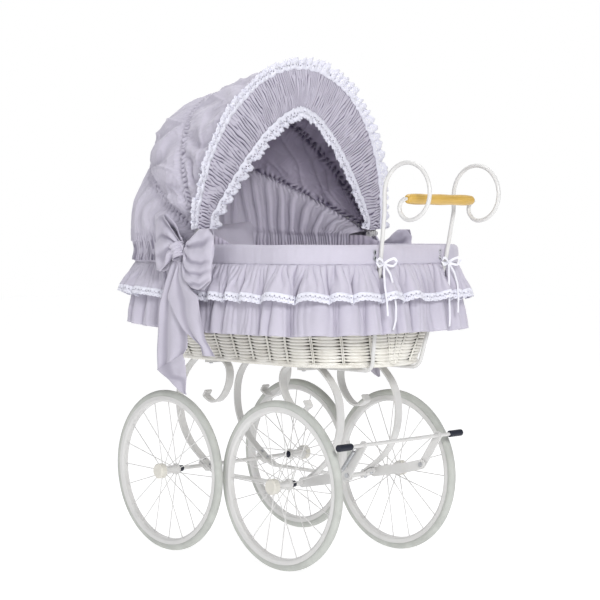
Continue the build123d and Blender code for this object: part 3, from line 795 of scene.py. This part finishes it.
def pillow():
    lo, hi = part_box("pillow")
    lean = math.radians(16.0)
    thick, width, tall = 0.046, 0.296, 0.286
    obj = slab("pillow_cover", thick, width, tall, 0.014, MAT["pleats"])
    remesh(obj, 0.006)
    inflate(obj, 3.0, 14, 0.010)
    pull_in_sides(obj, width, tall)
    mod = obj.modifiers.new("sub", "SUBSURF")
    mod.levels = mod.render_levels = 1
    apply_modifiers(obj)
    obj.location = ((lo.x + hi.x) / 2, 0, (lo.z + hi.z) / 2)
    obj.rotation_euler = (0, -lean, 0)
    bpy.context.view_layer.update()
    obj.data.transform(obj.matrix_world)
    obj.matrix_world.identity()
    obj.location = (0, 0, 0)
    obj.rotation_euler = (0, 0, 0)
    belongs(obj, "pram", "lining_cotton", "pillow")


def pull_in_sides(obj, width, tall):
    """Corners stay, the middle of each side pulls in, and loose creases run from the corners."""
    co = np.array([v.co for v in obj.data.vertices])
    u, w = co[:, 1] / (width / 2), co[:, 2] / (tall / 2)
    inward = 0.06
    co[:, 1] *= 1 - inward * (1 - np.clip(np.abs(w), 0, 1) ** 2) * np.abs(u) ** 2
    co[:, 2] *= 1 - inward * (1 - np.clip(np.abs(u), 0, 1) ** 2) * np.abs(w) ** 2
    crown = (1 - np.clip(np.abs(u), 0, 1) ** 3) * (1 - np.clip(np.abs(w), 0, 1) ** 3)
    crease = noise(u * 5 + 9, w * 7 + 9, 61) * 0.0022 + noise(u * 14 + 20, w * 14 + 20, 62) * 0.0008
    co[:, 0] += np.sign(co[:, 0]) * (crown * 0.006 + crease)
    obj.data.vertices.foreach_set("co", co.ravel())
    obj.data.update()


def mattress():
    """A padded mattress with buttoned channels across it and a piped edge."""
    lo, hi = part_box("mattress")
    inset = 0.0155
    s = np.linspace(0, 1, 360, endpoint=False)
    z0, z1 = lo.z, hi.z
    tall = z1 - z0
    profile = [(-0.010, 0.0), (-0.003, 0.004), (0.0, tall * 0.2), (0.0008, tall * 0.5), (0.0, tall * 0.8),
               (-0.004, tall - 0.003), (-0.012, tall)]
    rings = [wall(s, -inset + out, z0 + up) for out, up in profile]
    share = np.clip((z1 - FLOOR_Z) / (BAND_Z0 - FLOOR_Z), 0, 1)
    half_x = BOTTOM_OVAL[0] + share * (TOP_OVAL[0] - BOTTOM_OVAL[0]) - inset
    half_y = BOTTOM_OVAL[1] + share * (TOP_OVAL[1] - BOTTOM_OVAL[1]) - inset
    top_ring = rings[-1]
    centre = np.array([BASKET_X, 0, z1])
    for k in np.linspace(0.93, 0.02, 26):
        ring = centre + (top_ring - centre) * (k, k, 1)
        dx = (ring[:, 0] - BASKET_X) / 0.062
        dy = ring[:, 1] / 0.062
        quilt = np.abs(np.sin(np.pi * (dx + dy) / 2)) * np.abs(np.sin(np.pi * (dx - dy) / 2))
        ring[:, 2] = z1 - 0.006 * (1 - quilt ** 0.5)
        rings.append(ring)
    points = np.stack(rings, 1)
    nu, nv = points.shape[:2]
    faces = grid_faces(nu, nv, True).tolist()
    faces.append([i * nv + nv - 1 for i in range(nu)])
    faces.append([i * nv for i in range(nu)][::-1])
    obj = mesh("mattress_cover", points.reshape(-1, 3), np.array(faces[:-2]), MAT["sheet"])
    me = obj.data
    me.clear_geometry()
    me.from_pydata(points.reshape(-1, 3).tolist(), [], faces)
    me.polygons.foreach_set("use_smooth", [True] * len(me.polygons))
    me.update()
    belongs(obj, "pram", "white_cotton", "mattress")


pillow()
mattress()


# ------------------------------------------------------------------ hood
def hoop_point(half_width, length, lean, phi, drop=0.0):
    """A point of a half-elliptical hoop; phi runs from the right foot (0) over the crown to the left foot."""
    a = np.radians(lean)
    y = half_width * np.cos(phi)
    h = length * np.sin(phi)
    return np.stack(np.broadcast_arrays(PIVOT.x - h * np.sin(a), y, PIVOT.z + h * np.cos(a) - drop), -1)


HOOD_COLUMNS = 700
FOOT = 0.02                 # the cloth starts a little above the pivot line
phi = np.linspace(FOOT, np.pi - FOOT, HOOD_COLUMNS)[:, None]
ROUND = (phi / np.pi)


def channel(distance, seed, count=88, depth=0.0027, reach=0.015):
    """Gathers over a sewn channel: fine ridges that fade away from the hoop."""
    ridge = np.cos(TAU * (count * ROUND + 0.55 * noise(ROUND * 60, distance * 90, seed)))
    strength = np.exp(-(distance / reach) ** 2) * 0.85 + 0.35 * np.exp(-distance / 0.045)
    return depth * ridge * strength


def outward(points, distance):
    """Directions off the cloth, turning to straight out from the pivot at the hoop that two cloths share."""
    normal = puff_normal(points)
    radial = unit(points - np.array(PIVOT))
    normal = normal * np.sign((normal * radial).sum(-1, keepdims=True))
    near = np.exp(-distance / 0.018)[..., None]
    return unit(normal * (1 - near) + radial * near)


def puff_normal(points):
    du = np.gradient(points, axis=0)
    dv = np.gradient(points, axis=1)
    return unit(np.cross(dv, du))


CHANNEL_SEED = {FRONT_HOOP[2]: 301, FRONT_HOOP[2] - 0.6: 301, MID_HOOP[2]: 302, REAR_HOOP[2]: 303}


def gore(name, front, rear, seed, rows=56, bulge=0.006, folds=14, depth=0.0045, skew=0.25, inner=False):
    """Cloth between two hoops, front to rear."""
    t = np.linspace(0, 1, rows)[None, :]
    ends = [hoop_point(half + 0.0048, length + 0.0048, lean, phi) for half, length, lean in (front, rear)]
    points = ends[0] * (1 - t[..., None]) + ends[1] * t[..., None]
    span = np.linalg.norm(points[:, -1] - points[:, 0], axis=1)[:, None]
    to_front, to_rear = span * t, span * (1 - t)
    normal = outward(points, np.minimum(to_front, to_rear))
    inside = ease(np.minimum(to_front, to_rear), 0.0, 0.022)
    channels = channel(to_front, CHANNEL_SEED[front[2]]) + channel(to_rear, CHANNEL_SEED[rear[2]])
    sway = 0.5 * noise(ROUND * 9, t * 2.0, seed) + 0.22 * noise(ROUND * 26, t * 3.5, seed + 1)
    fold = np.cos(TAU * (folds * (ROUND + skew * (t - 0.5) * 0.2) + sway))
    middle = np.sin(np.pi * t)
    out = bulge * middle * (span / span.max()) ** 0.7 + depth * fold * (0.35 + 0.65 * middle) * ease(span, 0.01, 0.08)
    out = out * inside + channels
    out = out + 0.0032 * (np.exp(-(to_front / 0.006) ** 2) + np.exp(-(to_rear / 0.006) ** 2))
    out = out + 0.0011 * noise(ROUND * 70, t * 7, seed + 4) * inside
    wrinkle = (1 - np.abs(noise(ROUND * 20 + t * 2.2, t * 3.2 + ROUND * 5, seed + 7))) ** 5
    fine_wrinkle = (1 - np.abs(noise(ROUND * 44 - t * 3, t * 6 + 9 * ROUND, seed + 8))) ** 5
    out = out + (0.0058 * wrinkle + 0.0026 * fine_wrinkle) * ease(span, 0.01, 0.08) * inside
    out = out * ease(ROUND, 0.0, 0.03) * ease(1 - ROUND, 0.0, 0.03)
    if inner:
        frill = np.cos(TAU * (74 * ROUND + 0.6 * noise(ROUND * 50, t * 6, seed + 6)))
        near = np.exp(-((to_front - 0.006) / 0.008) ** 2) + np.exp(-((to_rear - 0.006) / 0.008) ** 2)
        out = (-out * 0.8 * ease(span, 0.01, 0.09) - 0.0055 - 0.007 * ease(span, 0.02, 0.10)
               - (0.0035 + 0.0050 * frill) * near * ease(ROUND, 0.0, 0.03) * ease(1 - ROUND, 0.0, 0.03))
    points = points + normal * out[..., None]
    obj = grid(name, points, MAT["lining"] if inner else MAT["cloth"])
    # painted shade: the cloth's colour is darkened in the gathers by the hoops, in the folds and along the wrinkles
    by_hoop = np.exp(-(to_front / 0.010) ** 2) + np.exp(-(to_rear / 0.010) ** 2)
    if inner:
        paint_fold_shade(obj, near * (0.55 - 0.45 * frill) + 0.15 * ease(fold, 0.2, 1.0)
               + 0.25 * ease(wrinkle, 0.3, 0.9))
    else:
        crease_shade = ease(0.5 - channels / 0.004, 0.5, 1.2)
        paint_fold_shade(obj, 0.66 * crease_shade * np.clip(by_hoop, 0, 1) + 0.16 * ease(-fold, 0.2, 1.0) * middle
               + 0.18 * ease(0.45 - wrinkle, 0.0, 0.4) * ease(wrinkle, 0.0, 0.3))
    turn_with_hoops(obj)
    return obj


def turn_with_hoops(obj):
    """Bakes the piece's placement into its points."""
    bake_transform(obj)


FRONT_CLOTH = (FRONT_HOOP[0], FRONT_HOOP[1], FRONT_HOOP[2] - 0.6)
front_gore = gore("hood_cloth_front", FRONT_CLOTH, MID_HOOP, 71, bulge=0.004, depth=0.0065,
                  folds=12)
mid_gore = gore("hood_cloth_mid", MID_HOOP, REAR_HOOP, 81, bulge=0.036, depth=0.0065, folds=12)
front_inner = gore("hood_lining_front", FRONT_CLOTH, MID_HOOP, 72, inner=True)
mid_inner = gore("hood_lining_mid", MID_HOOP, REAR_HOOP, 82, depth=0.006, folds=9, inner=True)
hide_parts("hood_gore_front")
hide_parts("hood_gore_rear")


def back_panel(name, seed, inner=False):
    """Cloth from the rear hoop down over the head end of the rim, gathered by an elastic hem."""
    rows = 90
    t = np.linspace(0, 1, rows)[None, :]
    crown = hoop_point(REAR_HOOP[0] + 0.0048, REAR_HOOP[1] + 0.0048, REAR_HOOP[2], phi)
    side_s = 0.272 + 0.456 * ROUND
    rim_out = -0.016 if inner else 0.0150
    rim_z = TOP_Z + (0.020 if inner else 0.018)
    rim = oval(side_s, rim_out, rim_z)
    t_rim = 1.0 if inner else 0.84
    u = np.clip(t / t_rim, 0, 1)[..., None]
    points = crown + (rim - crown) * u
    bow_out = np.sin(np.pi * u[..., 0]) * (0.018 if not inner else 0.012)
    span = np.linalg.norm(rim - crown, axis=-1)
    distance = span * u[..., 0]
    normal = outward(points + 1e-6 * np.arange(rows)[None, :, None], distance)
    pleats = 26 if inner else 20
    sway = 0.4 * noise(ROUND * 15, t * 2.5, seed) + 0.12 * noise(ROUND * 50, t * 3, seed + 1)
    fold = np.cos(TAU * (pleats * ROUND + sway)) + 0.35 * np.cos(4 * np.pi * (pleats * ROUND + sway) + 1)
    depth = 0.0052 if inner else 0.0038
    middle = 0.4 + 0.6 * np.sin(np.pi * u[..., 0])
    out = bow_out + depth * fold * middle * ease(span, 0.02, 0.12)
    out = out * ease(distance, 0.0, CLEAR)
    out = out + channel(distance, CHANNEL_SEED[REAR_HOOP[2]]) + channel(span - distance, seed + 3, 110, 0.0024, 0.02)
    out = out + HEM_BULGE * np.exp(-(distance / 0.006) ** 2)
    out = out + 0.001 * noise(ROUND * 70, t * 8, seed + 4) * ease(distance, 0.0, CLEAR)
    out = out * ease(ROUND, 0.0, 0.02) * ease(1 - ROUND, 0.0, 0.02)
    if inner:
        out = -out * 0.8 - 0.0125 * (1 - ease(u[..., 0], 0.8, 1.0))
    points = points + normal * out[..., None]
    if inner:
        tuck = np.clip((t - 0.9) / 0.1, 0, 1)
        points[..., 2] -= 0.030 * tuck
    else:
        hem = np.clip((t - t_rim) / (1 - t_rim), 0, 1)
        gather = np.cos(TAU * (115 * ROUND + 0.5 * noise(ROUND * 80, hem * 2, seed + 5)))
        squeeze = 0.0145 - 0.0035 * np.sin(np.pi * np.clip(hem * 1.15, 0, 1)) + 0.0022 * gather * (0.5 + 0.5 * hem)
        drop = rim_z - (rim_z - BAND_Z0 - 0.006) * hem
        hem_points = oval(side_s + 0.0009 * gather * hem, squeeze, drop)
        mix = ease(hem, 0.0, 0.25)[..., None]
        points = np.where(hem[..., None] > 0, points * (1 - mix) + hem_points * mix, points)
    obj = grid(name, points, MAT["pleats"] if inner else MAT["cloth"])
    # painted shade: the colour is darkened in the gathers along the hoop and the hem, and in the pleats
    ridges = (channel(distance, CHANNEL_SEED[REAR_HOOP[2]]) + channel(span - distance, seed + 3, 110, 0.0024, 0.02)) / 0.004
    by_edge = np.exp(-(distance / 0.012) ** 2) + np.exp(-((span - distance) / 0.025) ** 2)
    paint_fold_shade(obj, 0.7 * ease(0.5 - ridges, 0.5, 1.2) * np.clip(by_edge, 0, 1)
           + (0.35 if inner else 0.14) * ease(fold if inner else -fold, 0.1, 1.1) * middle)
    turn_with_hoops(obj)
    return obj


back = back_panel("hood_cloth_back", 91)
back_inner = back_panel("hood_lining_back", 95, inner=True)
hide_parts("hood_back")


# ------------------------------------------------------------------ shirred visor
VISOR_FABRIC = (0.318, 0.409)
VISOR_MOUTH = (0.290, 0.308)
VISOR_SHOULDER = 0.60       # how soon the mouth narrows towards its crown
VISOR_FOOT = 0.050          # least width of the shirred band at its feet
LACE_WIDE = 0.031
visor_lean = math.radians(FRONT_HOOP[2])
CROWN = np.array([-math.sin(visor_lean), 0, math.cos(visor_lean)])
FORWARD = np.cross([0, 1, 0], CROWN)


def visor_edges(angle):
    """Outer and inner edge of the shirred band in the hoop's plane, as (y, height)."""
    h_out = VISOR_FABRIC[1] * np.sin(angle)
    outer = np.stack([VISOR_FABRIC[0] * np.cos(angle), h_out], -1)
    rise = np.sin(angle)
    y_in = VISOR_MOUTH[0] * (1 - rise) ** VISOR_SHOULDER
    y_in = np.minimum(y_in, VISOR_FABRIC[0] - VISOR_FOOT)
    inner = np.stack([np.sign(np.cos(angle)) * y_in, VISOR_MOUTH[1] * rise], -1)
    return outer, inner


def visor_surface(s, v):
    """The band's front: s from 0 at the right foot to 1 at the left, v from 0 at the mouth to 1 outside."""
    s, v = np.broadcast_arrays(np.asarray(s, float), np.asarray(v, float))
    angle = 0.03 + s * (np.pi - 0.06)
    outer, inner = visor_edges(angle)
    flat = inner + (outer - inner) * v[..., None]
    base = flat[..., 0, None] * np.array([0, 1, 0]) + flat[..., 1, None] * CROWN
    return base + np.array(PIVOT)


def visor():
    nu, nv = 2400, 46
    s = np.linspace(0, 1, nu)[:, None]
    v = np.linspace(0, 1, nv)[None, :]
    base = visor_surface(s, v)
    warp = 0.9 * noise(s * 36, v * 1.3, 101) + 0.35 * noise(s * 80, v * 3.5, 102)
    puffs = np.abs(np.sin(np.pi * (120 * s + warp))) ** 0.75
    finer = np.abs(np.sin(np.pi * (138 * s - 0.8 * warp + 0.3 * noise(s * 70, v * 4, 106)))) ** 0.8
    share = ease(noise(s * 46, v * 3.2, 103), -0.25, 0.25)
    gather = puffs * share + finer * (1 - share)
    strength = 0.60 + 0.40 * noise(s * 110, v * 6, 104)
    dome = np.sin(np.pi * np.clip(v, 0.02, 0.98)) ** 0.5
    soft = 0.0014 * noise(s * 60, v * 3, 105)
    lift = 0.0035 + 0.0062 * dome + soft + 0.0084 * (gather - 0.55) * strength * (0.45 + 0.55 * dome)
    lift = np.maximum(lift, 0.0022)
    front = base + FORWARD * lift[..., None]
    back_v = v[:, ::-1]
    rear = visor_surface(s, back_v) + FORWARD * (0.0012 + 0 * s[..., None])
    points = np.concatenate([front, rear[:, 1:-1]], 1)
    n, m = points.shape[:2]
    obj = mesh("visor_shirred", points.reshape(-1, 3), grid_faces(n, m, False, True), MAT["cloth"])
    # painted shade: the colour is darkened in the valleys between the shirred puffs
    crease_shade = 1.35 * ease((0.68 - gather) * strength, 0.0, 0.34) * (0.35 + 0.65 * dome)
    paint_fold_shade(obj, np.concatenate([crease_shade, np.zeros((n, m - nv))], 1))
    belongs(obj, "hood_front", "lavender_cotton", "hood_visor")


visor()


def frill(edge, seed, waves):
    """A ruffled strip that stands out from one edge of the visor: surface(s, v)."""
    def surface(s, v):
        s, v = np.broadcast_arrays(np.asarray(s, float), np.asarray(v, float))
        start = visor_surface(s, edge)
        other = visor_surface(s, 1 - edge)
        away = unit(start - other)
        phase = TAU * (waves * s + 0.45 * noise(s * 37, 0.0, seed) + 0.2 * noise(s * 90, 0.0, seed + 1))
        d = 1e-4
        ahead = unit(visor_surface(s + d, edge) - visor_surface(s - d, edge))
        swing = ease(v, 0.0, 0.8)
        size = 0.7 + 0.3 * noise(s * 30, 0.0, seed + 2)
        depth = 0.0092 * np.cos(phase) * size
        slide = 0.0066 * np.sin(phase) * size
        reach = LACE_WIDE * v * (0.92 + 0.09 * np.cos(phase + 0.7) + 0.12 * noise(s * 31, 0.0, seed + 3))
        base = 0.0055 - 0.0012 * np.cos(phase) - 0.0015 * noise(s * 70, 0.0, seed + 4)
        return (start + away * (reach - base)[..., None] + ahead * (slide * swing)[..., None]
                + FORWARD * (0.0085 + depth * swing + 0.002 * v)[..., None])
    return surface


outer_lace = lace("visor_lace_outer", frill(1.0, 111, 47), 0.0, 1.0, 0.0, 1.0, LACE_WIDE, 0.0)
inner_lace = lace("visor_lace_inner", frill(0.0, 121, 38), 0.0, 1.0, 0.0, 1.0, LACE_WIDE, 0.0)
for piece in (outer_lace, inner_lace):
    belongs(piece, "hood_front", "white_cotton")

# ------------------------------------------------------------------ bows
BOW_Y = 0.333               # the bow's own plane, from the middle
# edges of loops and tails in the bow's plane, from the hood's pivot, in millimetres
LOOP_BACK = ([(-8, -30), (-33, -5), (-55, 24), (-84, 47), (-112, 36)],
             [(-14, -44), (-48, -58), (-68, -78), (-92, -92), (-112, -86)])
LOOP_FRONT = ([(-4, -36), (14, -18), (34, -3), (60, 10), (86, 10), (98, -8)],
              [(-8, -48), (-5, -76), (2, -106), (20, -124), (52, -132), (86, -110)])
TAIL_LONG = ([(-50, -44), (-61, -62), (-86, -117), (-109, -178), (-116, -251), (-118, -327)],
             [(-28, -52), (-33, -100), (-36, -150), (-18, -200), (-8, -240), (-8, -269), (-22, -284)])
TAIL_TURN = ([(-118, -327), (-69, -350), (-29, -374), (-11, -380)], [(-22, -284), (-12, -300), (-9, -330), (-9, -378)])
TAIL_SHORT = ([(-30, -66), (-51, -111), (-70, -152), (-40, -195), (-12, -227), (45, -261), (50, -284)],
              [(-20, -66), (-12, -100), (8, -124), (40, -146), (47, -200), (60, -246), (100, -284)])


# painted shade in the folds of each part of the bow in the making
SHADES = []                 # fold darkness of each part of the bow in the making


def strip(edges, n, m):
    """A flat strip between two edges in the bow's plane: (n, m, 2)."""
    left, right = (resample(np.array(e) * 0.001, n) for e in edges)
    v = np.linspace(0, 1, m)[None, :, None]
    return left[:, None] * (1 - v) + right[:, None] * v


def to_bow(flat, depth, side):
    """Plane coordinates and depth outward from BOW_Y to points."""
    x = PIVOT.x + flat[..., 0]
    z = PIVOT.z + flat[..., 1]
    y = side * (BOW_Y + depth)
    return np.stack(np.broadcast_arrays(x, y, z), -1)


def bow_loop(edges, side, seed, plump, layer):
    """One loop: the ribbon runs out from the knot, turns, and comes back behind."""
    n, m = 90, 34
    p = np.linspace(0, 1.9, n)
    reach = np.sin(np.pi * p / 2)
    face = np.cos(np.pi * p / 2)
    line = strip(edges, 200, m)
    index = np.clip(reach * 199, 0, 199)
    lo = np.floor(index).astype(int)
    hi = np.minimum(lo + 1, 199)
    flat = line[lo] * (1 - (index - lo))[:, None, None] + line[hi] * (index - lo)[:, None, None]
    v = np.linspace(0, 1, m)[None, :]
    r = reach[:, None]
    crown = 0.5 + 0.5 * np.sin(np.pi * v) ** 0.7
    open_up = ease(r, 0.0, 0.55)
    depth = face[:, None] * (0.004 + plump * open_up * crown)
    rays = 0.0048 * np.cos(TAU * (3.4 * v + 0.5 * noise(r * 3, v * 2, seed))) * (1 - r) ** 0.45 * ease(r, 0.02, 0.2)
    dents = 0.0028 * noise(r * 4 + 3, v * 3 + 5, seed + 1) * ease(r, 0.2, 0.6)
    dents = dents + 0.0008 * noise(r * 14, v * 9, seed + 2)
    depth = depth + (rays + dents) * np.sign(face[:, None] + 1e-9)
    SHADES.append(0.5 * ease(-rays, 0.0004, 0.0032) + 0.12 * ease(-dents, 0.0, 0.002))
    return to_bow(flat, depth + layer, side)


def bow_tail(edges, side, seed, layer, folds=1.6, depth=0.0045):
    n, m = 90, 26
    flat = strip(edges, n, m)
    r = np.linspace(0, 1, n)[:, None]
    v = np.linspace(0, 1, m)[None, :]
    wave = np.cos(TAU * (folds * v + 0.35 * noise(r * 3, v * 0 + 1, seed) + 0.2 * r))
    out = depth * wave * (0.4 + 0.6 * r) + 0.0012 * noise(r * 7, v * 4, seed + 1)
    SHADES.append(0.34 * ease(-wave, 0.2, 1.1))
    return to_bow(flat, layer + out, side)


def bow(name, side, node_name):
    pieces = [bow_loop(LOOP_BACK, side, 131, 0.0150, 0.004), bow_loop(LOOP_FRONT, side, 141, 0.0140, 0.006),
              bow_tail(TAIL_LONG, side, 151, -0.003), bow_tail(TAIL_TURN, side, 155, 0.0005, 0.8, 0.002),
              bow_tail(TAIL_SHORT, side, 161, 0.0050, 1.3)]
    verts, faces, start = [], [], 0
    for points in pieces:
        nu, nv = points.shape[:2]
        verts.append(points.reshape(-1, 3))
        faces.append(grid_faces(nu, nv) + start)
        start += nu * nv
    ribbon = mesh(name, np.concatenate(verts), np.concatenate(faces), MAT["cloth"])
    # painted shade: the ribbon's colour is darkened in its folds and dents
    paint_fold_shade(ribbon, np.concatenate([shade.ravel() for shade in SHADES]))
    SHADES.clear()
    thicken(ribbon, 0.0011)

    # the knot: a short band of cloth wrapped round the middle
    n, m = 44, 20
    a = np.linspace(0, TAU, n, endpoint=False)[:, None]
    w = np.linspace(-1, 1, m)[None, :]
    half = 0.0175
    radius = 0.0135 + 0.003 * w ** 2
    radius = radius + 0.0011 * np.cos(TAU * (2.2 * w + 0.3 * np.sin(a))) + 0.0008 * noise(a * 3, w * 4, 171)
    across = np.stack([np.cos(a) * radius * 1.05, np.sin(a) * radius * 1.5], -1)
    tilt = math.radians(-24)
    along = np.array([math.sin(tilt), math.cos(tilt)])
    perp = np.array([along[1], -along[0]])
    spot = np.array([-0.030, -0.042])
    flat = spot + w[..., None] * half * along + (across[..., 0, None] * perp)
    knot = grid(f"{name}_knot", to_bow(flat, 0.006 + across[..., 1] * 0.75, side), MAT["cloth"], True)
    thicken(knot, 0.0012)
    for piece in (ribbon, knot):
        belongs(piece, "pram", "lavender_cotton")
    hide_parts(node_name)
    return ribbon


bows = [bow("bow_ribbon_left", -1, "bow_left"), bow("bow_ribbon_right", 1, "bow_right")]


# ------------------------------------------------------------------ satin ties round the handle rods
def ribbon(lines, width, name):
    """Flat ribbon along 3-D lines, its width across the line and roughly level with the band."""
    verts, faces, start = [], [], 0
    for line, across in lines:
        path = resample(line, 40)
        ahead = unit(np.gradient(path, axis=0))
        side = unit(np.cross(ahead, np.array(across, float)))
        side = unit(np.cross(side, ahead))
        curl = np.linspace(-1, 1, 5)[None, :, None]
        normal = np.cross(ahead, side)[:, None]
        pts = path[:, None] + curl * side[:, None] * width / 2 + normal * (0.0007 * (curl ** 2 - 0.5))
        verts.append(pts.reshape(-1, 3))
        faces.append(grid_faces(40, 5) + start)
        start += 200
    obj = mesh(name, np.concatenate(verts), np.concatenate(faces), MAT["satin"])
    return thicken(obj, 0.0005)


def ties():
    lo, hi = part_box("ribbon_ties")
    rod_x = lo.x + 0.006
    tie_z = hi.z - 0.0045
    made = []
    for side, name in ((-1, "left"), (1, "right")):
        y = side * 0.1113
        p = lambda dx, dy, dz: (rod_x + dx, y + side * dy, tie_z + dz)
        width = 0.0058
        wrap = [p(0.0068 * math.cos(a), 0.0068 * math.sin(a), 0.002 * math.sin(a)) for a in np.linspace(0.2, 6.2, 14)]
        knot_at = (0.0105, 0.0, 0.0)
        lines = [(wrap, (0, 0, 1))]
        for sgn in (-1, 1):
            loop = [p(0.0095, 0.0, 0.0), p(0.016, sgn * 0.012, 0.008), p(0.019, sgn * 0.026, 0.012),
                    p(0.020, sgn * 0.034, 0.002), p(0.017, sgn * 0.024, -0.007), p(0.011, 0.002 * sgn, -0.002)]
            lines.append((loop, (0.2, 0, 1)))
        tails = {-1: [(0.011, 0, -0.002), (0.020, -0.010, -0.022), (0.026, -0.016, -0.055), (0.030, -0.019, -0.095),
                      (0.031, -0.018, -0.128), (0.026, -0.014, -0.150)],
                 1: [(0.011, 0, -0.002), (0.019, 0.009, -0.020), (0.026, 0.014, -0.050), (0.031, 0.012, -0.085),
                     (0.032, 0.010, -0.118)]}
        for sgn, pts in tails.items():
            lines.append(([p(*q) for q in pts], (0, 1, 0.15)))
        through = [p(0.0, 0.007, 0.0), p(-0.006, 0.010, 0.010), p(-0.009, 0.012, 0.020)]
        lines.append((through, (0, 0, 1)))
        obj = ribbon(lines, width, f"satin_tie_{name}")
        knot = tubes(f"satin_knot_{name}", [[p(0.0115, -0.005, 0.001), p(0.0125, 0, 0.0), p(0.0115, 0.005, -0.001)]],
                     0.0038, MAT["satin"], 12)
        for piece in (obj, knot):
            belongs(piece, "pram", "white_satin")
        made.append(obj)
    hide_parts("ribbon_ties")
    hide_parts("ribbon_ties")
    return made


satin = ties()


# ------------------------------------------------------------------ brake spring
def spring():
    """A close-wound tension spring with a hook at each end, from the fixed plate to the swinging arm."""
    lo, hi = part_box("brake_spring")
    y = (lo.y + hi.y) / 2
    low = np.array([lo.x + 0.002, y, lo.z + 0.001])
    high = np.array([hi.x - 0.002, y, hi.z - 0.001])
    run = high - low
    length = np.linalg.norm(run)
    axis = run / length
    side = np.array([0, 1.0, 0])
    top = np.cross(axis, side)
    coil_r, wire, turns = 0.0042, 0.00085, 30
    a = np.linspace(0, TAU * turns, turns * 16)
    share = np.linspace(0.13, 0.87, len(a))
    coil = low + run * share[:, None] + coil_r * (np.cos(a)[:, None] * side + np.sin(a)[:, None] * top)
    hook = lambda centre, sgn: [centre + 0.0042 * (math.sin(b) * axis * sgn + math.cos(b) * side)
                                for b in np.linspace(0, 4.4, 14)]
    start = [np.array(p) for p in hook(low + axis * 0.005, -1)][::-1]
    finish = [np.array(p) for p in hook(high - axis * 0.005, 1)]
    line = np.array(start + list(coil) + finish)
    obj = tubes("tension_spring", [line], wire, MAT["steel"], 8, up=(0.3, 0.2, 0.9))
    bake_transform(obj)
    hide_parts("brake_spring")


spring()


# ------------------------------------------------------------------ studio
scene = bpy.context.scene


def studio():
    size = 14.0
    floor = mesh("studio_floor", [(-size, -size, 0), (size, -size, 0), (size, size, 0), (-size, size, 0)],
                 [(0, 1, 2, 3)], material("pale_floor", (0.45, 0.45, 0.455), rough=0.9)[0], False)
    shader = floor.data.materials[0].node_tree.nodes["Principled BSDF"]
    shader.inputs["Emission Color"].default_value = (1, 1, 1, 1)
    shader.inputs["Emission Strength"].default_value = 0.74
    world = bpy.data.worlds.new("studio")
    world.use_nodes = True
    tree = world.node_tree
    coord = tree.nodes.new("ShaderNodeTexCoord")
    toward = tree.nodes.new("ShaderNodeVectorMath")
    toward.operation = "DOT_PRODUCT"
    toward.inputs[1].default_value = (-0.717, 0.697, 0.0)
    tree.links.new(coord.outputs["Generated"], toward.inputs[0])
    glow = ramp(tree, toward.outputs["Value"], [(0.0, (0.40, 0.40, 0.41)), (0.5, (0.48, 0.48, 0.49)), (0.86, (1, 1, 1))])
    tree.links.new(glow, tree.nodes["Background"].inputs["Color"])
    tree.nodes["Background"].inputs["Strength"].default_value = 1.0
    scene.world = world
    for name, spot, aim, side, power in (("key", (3.3, -2.0, 2.0), (0, 0, 0.8), 1.0, 80),
                                         ("fill", (0.2, -4.2, 2.2), (0, 0, 0.7), 1.6, 14),
                                         ("top", (-0.3, 0.3, 4.4), (0, 0, 0.5), 2.4, 62)):
        data = bpy.data.lights.new(name, "AREA")
        data.size = side
        data.energy = power
        lamp = bpy.data.objects.new(name, data)
        lamp.location = spot
        lamp.rotation_euler = (Vector(aim) - Vector(spot)).to_track_quat("-Z", "Y").to_euler()
        scene.collection.objects.link(lamp)


def camera():
    data = bpy.data.cameras.new("camera")
    data.sensor_width = 36.0
    data.lens = 96.46
    cam = bpy.data.objects.new("camera", data)
    cam.location = (2.809, -2.770, 0.789)
    cam.rotation_euler = (math.radians(90 - 2.3633), 0, math.radians(45.8205))
    scene.collection.objects.link(cam)
    scene.camera = cam


studio()
camera()
scene.view_settings.view_transform = "Standard"
